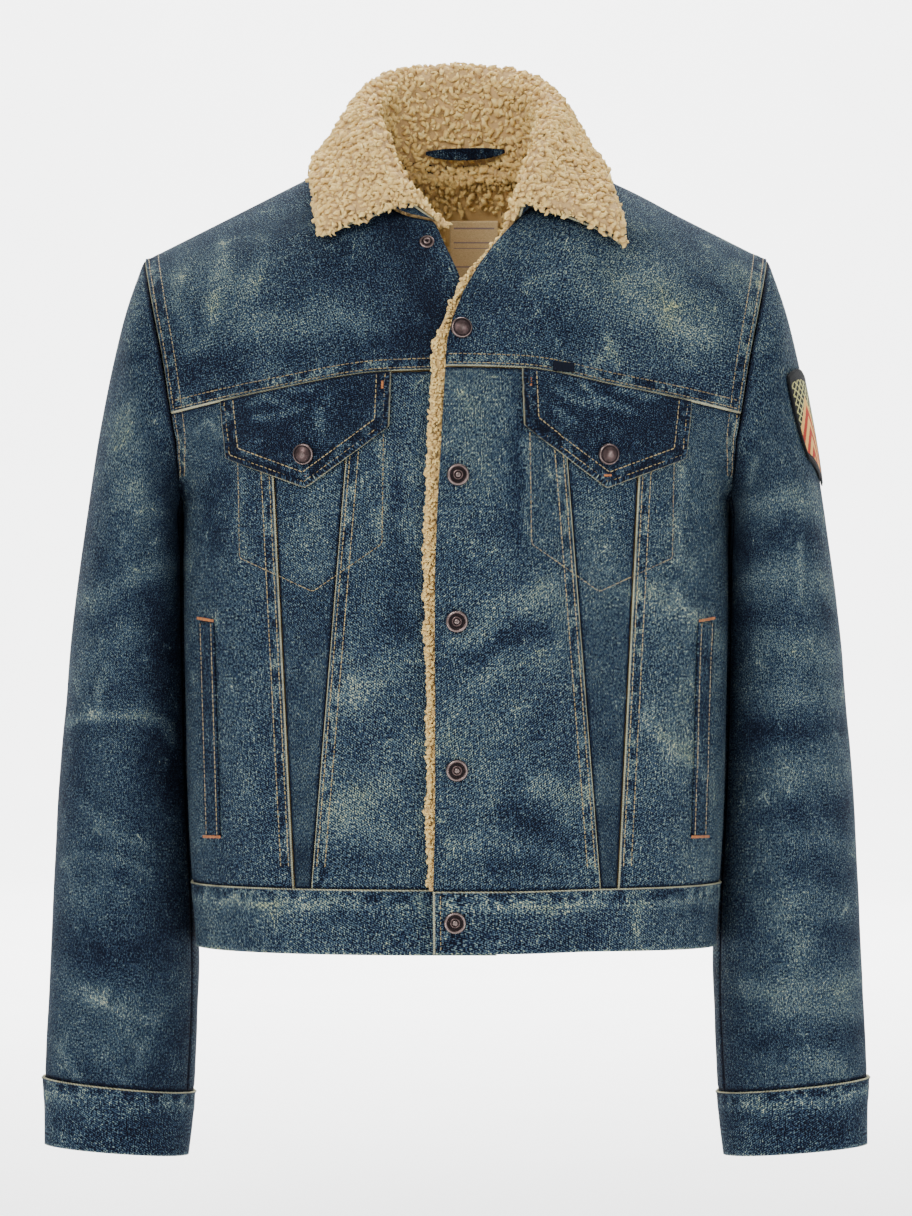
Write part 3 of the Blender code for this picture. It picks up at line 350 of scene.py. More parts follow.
# A line up the body at x, a function of z, through these z.
def uprightLine(x, zs, back=False):
    return track([(x(z), z) for z in zs], back)


# A straight line in (turn, rise) between two points.
def straight(start, end):
    start, end = np.asarray(start, float), np.asarray(end, float)
    return lambda at: start + (end - start) * np.asarray(at, float)[..., None]


# The armhole's edge between two rises, drawn in by a seam gap.
def alongArmhole(low, high, back=False):

    def line(at):
        rise = low + (high - low) * np.asarray(at, float)
        turn = armholeTurn(rise) - seamGap / holeReach
        return np.stack([math.pi - turn if back else turn, rise], axis=-1)

    return line


# One line after another, the first taking this share.
def joined(first, second, share):

    def line(at):
        at = np.asarray(at, float)
        early = first(np.clip(at / share, 0, 1))
        late = second(np.clip((at - share) / (1 - share), 0, 1))
        return np.where((at <= share)[..., None], early, late)

    return line


# The patch between four lines: both pairs blended straight, less the blend of the corners.
def coons(bottom, top, left, right):

    def patch(u, v):
        u1, v1 = u[..., None], v[..., None]
        zero, one = np.zeros_like(u), np.ones_like(u)
        corners = ((1 - u1) * (1 - v1) * bottom(zero) + u1 * (1 - v1) * bottom(one)
                   + (1 - u1) * v1 * top(zero) + u1 * v1 * top(one))
        return (1 - v1) * bottom(u) + v1 * top(u) + (1 - u1) * left(v) + u1 * right(v) - corners

    return patch


# A panel of the body from one upright seam to the next, each given as x at a height.
def between(lowX, highX, lowZ, topZ, back=False):
    steps = np.linspace(0, 1, 9)

    def upright(xOf):
        top = float(topZ(xOf(topZ(0.1))))
        return uprightLine(xOf, lowZ + (top - lowZ) * steps, back)

    def level(zOf):
        start, end = float(lowX(zOf(0.1))), float(highX(zOf(0.1)))
        return levelLine(zOf, start + (end - start) * steps, back)

    return coons(level(lambda x: lowZ), level(topZ), upright(lowX), upright(highX))


frontSides = rowsOf("side label edge neck lifted neckDrop", [
    (1, "left", leftEdge, leftNeck, True, 0.004),
    (-1, "right", rightEdge, rightNeck, False, 0.001),
])


# x of an upright seam at a height, straight from waist to yoke, set off to one side of its line.
def seamX(seam, shift=0.0, yokeAt=-0.175):
    return lambda z: np.interp(z, [waistSeamZ, yokeAt], [seam["waist"], seam["yoke"]]) + shift


# Height of the yoke seam at a distance from the middle.
def yokeZ(x):
    return readAt(yokeSeam, "x", "z", np.abs(x))


def underYoke(x):
    return yokeZ(x) - seamGap


# One point of the front or back as (turn, rise).
def spotOf(x, z, back=False):
    turn, rise = onBody(x, z, back)
    return np.array([float(turn), float(rise)])


# The rise at which the armhole's edge passes this height.
def armholeCorner(z, back=False):
    rises = np.linspace(pit, ridgeRise, 400)
    spots = alongArmhole(rises[0], rises[-1], back)((rises - rises[0]) / (rises[-1] - rises[0]))
    heights = bodyBase(spots[:, 0], spots[:, 1])[:, 2]
    return float(np.interp(z, heights, rises))


# Up the side seam and on along the armhole to a corner.
def sideLine(seamTurn, corner, back=False):
    seam = straight((seamTurn, lowRise), (seamTurn, pit))
    hole = alongArmhole(pit, corner, back)
    reach = (pit - lowZ + chestZ) / (corner - lowZ + chestZ)

    def line(at):
        spot = joined(seam, hole, reach)(at)
        limit = np.maximum if back else np.minimum
        spot[..., 0] = limit(spot[..., 0], seamTurn)
        return spot

    return line


# The back neckline from the wearer's left neck point to the right one.
def backNeck(at):
    angle = math.pi * np.asarray(at, float)
    x = neckHalf * np.cos(angle)
    rise = ridgeRise - 0.36 * riseTop * np.sin(angle)
    across = np.clip(np.abs(x) / halfWidth(rise, climb(rise, backArch)[0]), 0, 1)
    turn = np.sign(x) * np.arcsin(across ** (squareness / 2))
    return np.stack([math.pi - turn, rise], axis=-1)


# The same line on the wearer's right half of the back.
def mirrored(line):

    def other(at):
        spot = line(at)
        spot[..., 0] = 2 * math.pi - spot[..., 0]
        return spot

    return other


# The top of a back piece: along the shoulder from the arm line's end, round the neck between
# the two shares, and along the other shoulder.
def shoulderLine(arm, neckFrom, neckTo, ridge):

    def top(at):
        first = arm(np.array([1.0]))[0, 0]
        neck = backNeck(np.clip((at - neckFrom) / (neckTo - neckFrom), 0, 1))
        leftEnd, rightEnd = backNeck(np.array([0.0, 1.0]))[:, 0]
        before = first + (leftEnd - first) * np.clip(at / neckFrom, 0, 1)
        after = rightEnd + (2 * math.pi - first - rightEnd) * np.clip((at - neckTo) / (1 - neckTo), 0, 1)
        turn = np.where(at < neckFrom, before, np.where(at > neckTo, after, neck[..., 0]))
        beside = (at < neckFrom) | (at > neckTo)
        return np.stack([turn, np.where(beside, ridge, np.minimum(neck[..., 1], ridge))], axis=-1)

    return top


# A line that never climbs past the ridge.
def underRidge(line, ridge):

    def held(at):
        spot = line(at)
        spot[..., 1] = np.minimum(spot[..., 1], ridge)
        return spot

    return held


# A level or tilted section: angle 0 is its outer side, 90 the front, 180 the side by the body.
def sectionRing(row, angle):
    outer = np.array([row["outerX"], 0, row["outerZ"]])
    inner = np.array([row["innerX"], 0, row["innerZ"]])
    middle = (outer + inner) / 2 + [0, row["midY"], 0]
    power = 2 / 2.15
    across = np.sign(np.cos(angle)) * np.abs(np.cos(angle)) ** power
    deep = -np.sign(np.sin(angle)) * np.abs(np.sin(angle)) ** power
    return middle + across[..., None] * (outer - inner) / 2 + deep[..., None] * np.array([0, row["depth"], 0])


# The armhole's edge, spaced evenly along each half. angle 0 is the shoulder, 90 the front.
def armholeRing(angle):
    drop = np.linspace(0, 1, 300)
    rise = riseTop + (pit - riseTop) * drop
    angle = np.mod(angle, 2 * math.pi)
    found = np.zeros(angle.shape + (3,))
    for back in (False, True):
        turn = armholeTurn(rise)
        places = bodyAt(math.pi - turn if back else turn, rise)
        far = farAlong(places)
        share = np.where(angle <= math.pi, angle, 2 * math.pi - angle) / math.pi
        half = readRun(share, far / far[-1], places)
        found = np.where(((angle > math.pi) == back)[..., None], half, found)
    return found + [0.0006, 0, 0]


# Each point's own smooth curve through its place in every ring.
def loft(at, keys, rings):
    keys = np.asarray(keys, float)
    gap = np.diff(keys)
    slope = np.gradient(rings, keys, axis=0)
    i = np.clip(np.searchsorted(keys, at, side="right") - 1, 0, len(keys) - 2)
    each = np.arange(len(at))
    t = ((at - keys[i]) / gap[i])[:, None]
    return hermite(t, gap[i][:, None], rings[i, each], rings[i + 1, each], slope[i, each], slope[i + 1, each])


# The sleeve's outer face. down is the share of the way from the armhole to the cuff.
def sleevePoint(angle, down):
    angle, down = np.broadcast_arrays(np.asarray(angle, float), np.asarray(down, float))
    shape = angle.shape
    angle, down = angle.ravel(), down.ravel()
    middles = np.array([[(row["outerX"] + row["innerX"]) / 2, (row["outerZ"] + row["innerZ"]) / 2]
                        for row in sleeveSections])
    start = np.array([0.222, -0.172])
    keys = farAlong(np.vstack([start, middles]))
    rings = np.stack([armholeRing(angle)] + [sectionRing(row, angle) for row in sleeveSections])
    return loft(down, keys / keys[-1], rings).reshape(shape + (3,))


# The cross product of small steps round the sleeve and down it.
def sleeveNormal(angle, down):
    along = sleevePoint(angle, np.minimum(down + 0.003, 1)) - sleevePoint(angle, np.maximum(down - 0.003, 0))
    around = sleevePoint(angle + 0.01, down) - sleevePoint(angle - 0.01, down)
    return unit(np.cross(around, along))


def mirroredX(places, side):
    return places * np.array([side, 1, 1])


# Places along the neck seam, and their share of the way: -1 right front, 0 back, 1 left front.
def neckSeam():
    lift = collarSeat
    backSpots = backNeck(np.linspace(1, 0, 25))
    back = bodyAt(backSpots[:, 0], backSpots[:, 1], lift)
    frontsOf = {}
    for half in frontSides:
        side = half["side"]
        curve = track([(side * row["x"], row["z"]) for row in half["neck"]])(np.linspace(0, 0.94, 14))
        frontsOf[side] = bodyAt(side * curve[:, 0], curve[:, 1], lift, half["lifted"])
    return np.vstack([frontsOf[-1], back, frontsOf[1][::-1]])


# The collar's neck seam, roll line and outer edge, each a curve through its own points.
def collarLines(s):
    seam = neckSeam()
    far = farAlong(seam)
    middle = far[len(far) // 2]
    share = np.where(far < middle, far / middle - 1, (far - middle) / (far[-1] - middle))
    rows = collarRight[:0:-1] + collarLeft
    keys = [-row["s"] for row in collarRight[:0:-1]] + [row["s"] for row in collarLeft]
    lines = [readRun(s, share, seam)]
    for line in ("roll", "edge"):
        places = np.array([row[line] for row in rows])
        lines.append(np.stack([smooth(s, keys, places[:, k]) for k in range(3)], axis=-1))
    return lines


rollAt, fallShare = 0.42, 0.58  # shares of the collar's width before and after the roll line


# From the neck seam (w = 0) up to the roll line and over to the edge (w = 1), by two curves.
def collarBase(s, w):
    seam, roll, edge = collarLines(s)
    stand, fall = roll - seam, edge - roll
    rise = np.linalg.norm(stand, axis=-1, keepdims=True)
    drop = np.linalg.norm(fall, axis=-1, keepdims=True)
    over = unit((edge - seam) * [1, 1, 0])
    up = stand / rise
    bend = over * np.minimum(rise, drop) * 0.75
    t = np.where(w < rollAt, w / rollAt, (w - rollAt) / fallShare)[:, None]
    h00, h10 = (1 + 2 * t) * (1 - t) ** 2, t * (1 - t) ** 2
    h01, h11 = t * t * (3 - 2 * t), -t * t * (1 - t)
    first = h00 * seam + h10 * up * rise * 1.1 + h01 * roll + h11 * bend
    second = h00 * roll + h10 * bend + h01 * edge + h11 * fall * 1.15
    return np.where((w < rollAt)[:, None], first, second)


bodySample = {}


# Moves any place that is nearer the shoulders than the clearance straight out.
def clearOfBody(places, clearance):
    if not bodySample:
        turn, rise = np.meshgrid(np.linspace(-math.pi, math.pi, 181), np.linspace(-0.05, ridgeRise, 60))
        turn, rise = turn.ravel(), rise.ravel()
        bodySample["places"] = bodyAt(turn, rise, 0, (np.cos(turn) > 0) & (np.sin(turn) > -0.1))
        bodySample["normals"] = bodyNormal(turn, rise)
    near, normals = bodySample["places"], bodySample["normals"]
    far = np.linalg.norm(places[:, None] - near[None], axis=-1)
    closest = far.argmin(axis=1)
    height = ((places - near[closest]) * normals[closest]).sum(axis=-1)
    return places + normals[closest] * np.maximum(clearance - height, 0)[:, None]


# The collar's base, with its fall held clear of the shoulders.
def collarPoint(s, w):
    base = collarBase(s, w)
    onFall = ease((w - 0.50) / 0.2)[:, None]
    return base + (clearOfBody(base, collarClear) - base) * onFall


# The flap: straight sides, a top just under the yoke seam and two slopes down to its point.
def flapPatch():
    inner, outer, point = flap["inner"], flap["outer"], flap["point"]
    top = [(x, float(yokeZ(x)) - 0.0015) for x in np.linspace(inner[0], outer[0], 7)]
    return coons(joined(track([inner[1], point]), track([point, outer[1]]), 0.5), track(top),
                 track([inner[1], top[0]]), track([outer[1], top[-1]]))


# colour from 0-255 screen values to the linear ones a shader takes
def paint(*rgb):
    share = [c / 255 for c in rgb]
    return tuple(c / 12.92 if c < 0.04 else ((c + 0.055) / 1.055) ** 2.4 for c in share) + (1,)


# links a socket to an inlet, or sets a value on it
def give(inlet, value):
    if isinstance(value, bpy.types.NodeSocket):
        inlet.id_data.links.new(value, inlet)
    else:
        inlet.default_value = value


# one shader node, with its inputs set or linked
def wire(tree, kind, inputs, **settings):
    node = tree.nodes.new("ShaderNode" + kind)
    for name, value in settings.items():
        setattr(node, name, value)
    for name, value in inputs.items():
        give(node.inputs[name], value)
    return node


# the tree that holds the first socket among these values
def treeOf(*values):
    return next(value.id_data for value in values if isinstance(value, bpy.types.NodeSocket))


def maths(operation, a, b=0.0, c=0.0):
    return wire(treeOf(a, b, c), "Math", {0: a, 1: b, 2: c}, operation=operation).outputs[0]


# 0 to 1 as the value goes from low to high, eased
def rising(value, low, high):
    node = wire(treeOf(value), "MapRange", {0: value, 1: low, 2: high}, interpolation_type="SMOOTHSTEP")
    return node.outputs[0]


# 1 to 0 as the value goes from low to high, eased
def falling(value, low, high):
    return maths("SUBTRACT", 1.0, rising(value, low, high))


# a 0 to 1 value as its distance from the middle
def offMiddle(value):
    return maths("SUBTRACT", value, 0.5)


def ramp(value, stops):
    node = wire(treeOf(value), "ValToRGB", {0: value})
    spots = node.color_ramp.elements
    while len(spots) < len(stops):
        spots.new(0.5)
    for spot, (place, colour) in zip(spots, stops):
        spot.position, spot.color = place, colour
    return node.outputs[0]


def mix(share, a, b, blend="MIX"):
    node = wire(treeOf(share, a, b), "Mix", {0: share, 6: a, 7: b}, data_type="RGBA", blend_type=blend)
    return node.outputs[2]


def mapped(vector, stretch, turn=(0, 0, 0)):
    return wire(vector.id_data, "Mapping", {"Vector": vector, "Scale": stretch, "Rotation": turn}).outputs[0]


def noise(vector, scale, detail=2.0, stretch=(1, 1, 1), rough=0.55):
    return wire(vector.id_data, "TexNoise", {"Vector": mapped(vector, stretch), "Scale": scale, "Detail": detail,
                                             "Roughness": rough}).outputs[0]


def wave(vector, scale, distortion, bands, fine=1.0):
    return wire(vector.id_data, "TexWave", {"Vector": vector, "Scale": scale, "Distortion": distortion,
                                            "Detail Scale": fine}, bands_direction=bands).outputs["Fac"]


def bump(height, depth):
    return wire(height.id_data, "Bump", {"Height": height, "Distance": depth}).outputs[0]


# (tree, its inputs, its outputs) of an empty group of nodes
def newGroup(name, inputs, outputs):
    tree = bpy.data.node_groups.new(name, "ShaderNodeTree")
    for label, kind in inputs:
        tree.interface.new_socket(label, in_out="INPUT", socket_type="NodeSocket" + kind)
    for label, kind in outputs:
        tree.interface.new_socket(label, in_out="OUTPUT", socket_type="NodeSocket" + kind)
    return tree, tree.nodes.new("NodeGroupInput").outputs, tree.nodes.new("NodeGroupOutput").inputs


# Twill denim: slubby upright yarns, a fine diagonal, dye that has worn off high places, and painted shade beside under
# edges.
# wearAndShade is how far the dye has gone, 0 new to 1 bare, less any painted shade; ridge and groove are distances in
# mm.
def makeDenimGroup():
    tree, given, made = newGroup(
        "denimWearAndShade",
        [("Cloth", "Vector"), ("Place", "Vector"), ("Fade", "Float"), ("Ridge", "Float"), ("Groove", "Float")],
        [("Color", "Color"), ("Height", "Float")])
    cloth, place = given["Cloth"], given["Place"]
    slanted = mapped(cloth, (1, 1, 1), (0, 0, math.radians(-32)))
    twill = wave(slanted, 0.215, 1.6, "Y", 1.4)
    slub = noise(cloth, 1.0, 3, (0.85, 0.045, 1))
    fineSlub = noise(cloth, 1.0, 2, (1.5, 0.18, 1))
    grain = rising(noise(cloth, 0.98, 1, (1.0, 0.62, 1)), 0.30, 0.70)
    cloud = noise(place, 0.016, 4, rough=0.6)
    patchy = noise(place, 0.055, 3)
    cells = mapped(place, (1, 1, 0.6), (0.3, 0.5, 0.4))
    crack = wire(tree, "TexVoronoi", {"Vector": cells, "Scale": 0.055}, feature="DISTANCE_TO_EDGE").outputs["Distance"]
    hairline = maths("MULTIPLY", falling(crack, 0.0, 0.045), rising(patchy, 0.56, 0.70))
    cloud, patch, slub, grain, twill, fineSlub = map(offMiddle, (cloud, patchy, slub, grain, twill, fineSlub))
    # the strokes of wear and of painted shade are broken up by blotches, so none is an even smear
    broken = maths("MULTIPLY_ADD", noise(place, 0.075, 5, rough=0.65), 1.7, 0.10)
    wearAndShade = maths("MULTIPLY_ADD", maths("SUBTRACT", given["Fade"], 0.36), broken, 0.262)
    for value, share in ((cloud, 0.36), (patch, 0.26), (hairline, 0.26)):
        wearAndShade = maths("MULTIPLY_ADD", value, share, wearAndShade)
    # the puckered band beside a turned edge, and painted shade beside an under edge
    blots = noise(place, 0.125, 2, (1.0, 1.0, 0.8))
    inBand = maths("MULTIPLY", rising(given["Ridge"], 1.2, 2.6), falling(given["Ridge"], 8.0, 12.5))
    blot = maths("SUBTRACT", rising(blots, 0.38, 0.62), 0.52)
    wearAndShade = maths("MULTIPLY_ADD", maths("MULTIPLY", inBand, blot), 0.34, wearAndShade)
    # painted shade: the cloth is darkened within about 3 mm of the edge it runs under
    shade = falling(given["Groove"], 0.3, 3.4)
    wearAndShade = maths("MULTIPLY_ADD", shade, -0.34, wearAndShade)
    thread = wearAndShade
    for value, share in ((slub, 0.62), (grain, 0.64), (twill, 0.30), (fineSlub, 1.05)):
        thread = maths("MULTIPLY_ADD", value, share, thread)
    colour = ramp(thread, [
        (0.0, paint(7, 10, 21)), (0.20, paint(17, 27, 46)), (0.40, paint(41, 58, 77)),
        (0.60, paint(76, 95, 101)), (0.80, paint(124, 136, 120)), (1.0, paint(184, 186, 152))])
    # older wear turns the light places faintly green and brown
    tea = maths("MULTIPLY", rising(noise(place, 0.028, 3), 0.42, 0.68), rising(wearAndShade, 0.25, 0.8))
    colour = mix(maths("MULTIPLY", tea, 0.55), colour, paint(228, 222, 160), "MULTIPLY")
    hatch = wave(slanted, 0.26, 1.0, "Y")
    edge = falling(given["Ridge"], 0.5, 1.3)
    scraped = maths("MULTIPLY", rising(patchy, 0.25, 0.6), 0.35)
    bare = maths("MULTIPLY", edge, maths("MULTIPLY_ADD", hatch, 0.75, scraped))
    colour = mix(maths("MULTIPLY", bare, 0.80), colour, paint(192, 188, 152))
    tree.links.new(colour, made["Color"])
    bumpy = maths("MULTIPLY_ADD", twill, 0.35, maths("MULTIPLY", grain, 0.9))
    tree.links.new(maths("MULTIPLY_ADD", fineSlub, 0.9, bumpy), made["Height"])
    return tree


def inMillimetres(tree):
    place = wire(tree, "TexCoord", {}).outputs["Object"]
    return wire(tree, "VectorMath", {0: place, 1: (1000, 1000, 1000)}, operation="MULTIPLY").outputs[0]


# (material, its tree, the place in mm on the piece)
def newMaterial(name):
    made = bpy.data.materials.new(name)
    made.use_nodes = True
    return made, made.node_tree, inMillimetres(made.node_tree)


# the material with its colour, its relief to a depth in metres, and its amounts
def surfaced(made, colour, height=None, depth=0.0, **amounts):
    inlets = made.node_tree.nodes["Principled BSDF"].inputs
    give(inlets["Base Color"], colour)
    if height is not None:
        give(inlets["Normal"], bump(height, depth))
    names = dict(rough="Roughness", shine="Specular IOR Level", sheen="Sheen Weight", metal="Metallic")
    for word, amount in amounts.items():
        give(inlets[names[word]], amount)
    return made


def attribute(tree, name):
    return wire(tree, "Attribute", {}, attribute_name=name).outputs["Fac"]


# the share of a flat map across and up a piece
def acrossUp(tree):
    flat = wire(tree, "UVMap", {}, uv_map="share").outputs[0]
    return wire(tree, "SeparateXYZ", {0: flat}).outputs[:2]


def makeDenim():
    made, tree, place = newMaterial("denim_worn_and_shaded")
    look = tree.nodes.new("ShaderNodeGroup")
    look.node_tree = makeDenimGroup()
    give(look.inputs["Cloth"], wire(tree, "UVMap", {}, uv_map="cloth").outputs[0])
    give(look.inputs["Place"], place)
    for label in ("Fade", "Ridge", "Groove"):
        give(look.inputs[label], attribute(tree, label.lower()))
    return surfaced(made, look.outputs["Color"], look.outputs["Height"], 0.00028, rough=0.86, shine=0.08)


# Pile: pale curled tips over roots darkened as painted shade. tone is each lock's own shade, raised as painted light
# inside the neck, and tip its height.
def makePile():
    made, tree, place = newMaterial("sherpa_pile")
    wool = noise(place, 0.9, 4, rough=0.7)
    drift = noise(place, 0.03, 3)
    # painted shade: a low tip value darkens the pile, so each lock is darker towards its root
    light = maths("MULTIPLY_ADD", attribute(tree, "tip"), 0.55, maths("MULTIPLY", wool, 0.30))
    light = maths("MULTIPLY_ADD", attribute(tree, "tone"), 0.30, light)
    light = maths("MULTIPLY_ADD", offMiddle(drift), 0.25, light)
    colour = ramp(light, [(0.05, paint(148, 118, 76)), (0.38, paint(200, 166, 114)),
                          (0.68, paint(226, 190, 114)), (1.0, paint(250, 226, 156))])
    height = maths("MULTIPLY_ADD", wool, 1.2, noise(place, 2.2, 3, rough=0.7))
    return surfaced(made, colour, height, 0.0006, rough=0.95, shine=0.12, sheen=0.10)


def makeThread(name, dark, light):
    made, tree, place = newMaterial(name)
    shade = maths("MULTIPLY_ADD", noise(place, 0.08, 2), 0.5, maths("MULTIPLY", attribute(tree, "tone"), 0.75))
    ply = wave(place, 0.5, 2.0, "DIAGONAL")
    return surfaced(made, ramp(shade, [(0.1, dark), (0.9, light)]), ply, 0.00012, rough=0.6, sheen=0.2)


# Old copper snaps: bright on the rolled edge and centre, dark dirt in the channels.
def makeSnapMetal():
    made, tree, place = newMaterial("snap_copper")
    share = maths("MULTIPLY_ADD", offMiddle(noise(place, 0.55, 4)), 0.5, attribute(tree, "dirt"))
    colour = ramp(share, [(0.0, paint(128, 112, 108)), (0.35, paint(76, 61, 60)), (0.8, paint(26, 21, 23))])
    scratch = noise(place, 1.0, 3, (0.4, 1, 2.2))
    return surfaced(made, colour, scratch, 0.00005, rough=maths("MULTIPLY_ADD", share, 0.3, 0.26), metal=0.92)


# A woven label: cream ground with fine cross threads and a frame of thin violet lines.
def makeLabel():
    made, tree, place = newMaterial("label_weave")
    across, up = acrossUp(tree)
    lines = 0.0
    for height, half in ((0.90, 0.012), (0.70, 0.010), (0.62, 0.006), (0.36, 0.010), (0.10, 0.012)):
        lines = maths("MAXIMUM", maths("COMPARE", up, height, half), lines)
    inside = maths("COMPARE", across, 0.5, 0.42)
    mark = maths("MULTIPLY", maths("MULTIPLY", lines, inside), 0.7)
    ground = ramp(noise(place, 0.9, 3, (1, 1, 3)), [(0.3, paint(190, 162, 116)), (0.7, paint(224, 200, 152))])
    colour = mix(mark, ground, paint(98, 80, 118))
    return surfaced(made, colour, wave(place, 0.45, 1.0, "Z"), 0.0001, rough=0.75, sheen=0.15)


# An embroidered badge: black border, a cream lattice above and red and cream chevrons below.
def makeBadge():
    made, tree, place = newMaterial("badge_stitch")
    across, up = acrossUp(tree)
    wobble = maths("MULTIPLY", offMiddle(noise(place, 0.5, 2)), 0.03)
    u, v = maths("ADD", across, wobble), maths("ADD", up, wobble)
    wide, high = maths("MULTIPLY", u, 6.0), maths("MULTIPLY", v, 11.0)
    slants = [maths("PINGPONG", maths(way, wide, high), 0.5) for way in ("ADD", "SUBTRACT")]
    lattice = maths("LESS_THAN", maths("MINIMUM", *slants), 0.13)
    upper = mix(lattice, paint(10, 14, 16), paint(172, 168, 108))
    fromMiddle = maths("ABSOLUTE", offMiddle(across))
    chevron = maths("MULTIPLY_ADD", fromMiddle, 0.8, v)
    bars = maths("LESS_THAN", maths("PINGPONG", maths("MULTIPLY", chevron, 5.0), 0.5), 0.25)
    lower = mix(bars, paint(206, 160, 84), paint(156, 34, 16))
    face = mix(maths("GREATER_THAN", chevron, 0.74), lower, upper)
    reach = maths("MAXIMUM", fromMiddle, maths("MULTIPLY", maths("ABSOLUTE", offMiddle(up)), 1.09))
    colour = mix(maths("GREATER_THAN", reach, 0.435), face, paint(6, 8, 12))
    return surfaced(made, colour, wave(place, 0.5, 3.0, "DIAGONAL"), 0.00025, rough=0.75, shine=0.15)


def makeTab():
    made, tree, place = newMaterial("tab_weave")
    rib = wave(place, 0.4, 0.6, "X")
    shade = maths("MULTIPLY_ADD", noise(place, 0.6, 3), 0.6, maths("MULTIPLY", rib, 0.4))
    return surfaced(made, ramp(shade, [(0.2, paint(8, 10, 18)), (0.9, paint(24, 28, 40))]), rib, 0.00012,
                    rough=0.85, shine=0.06)


denim, pile, copper = makeDenim(), makePile(), makeSnapMetal()
labelWeave, badgeStitch, tabWeave = makeLabel(), makeBadge(), makeTab()
thread = makeThread("thread_tan", paint(70, 56, 32), paint(158, 138, 88))
tackThread = makeThread("thread_orange", paint(120, 62, 18), paint(190, 112, 40))
print("materials made")
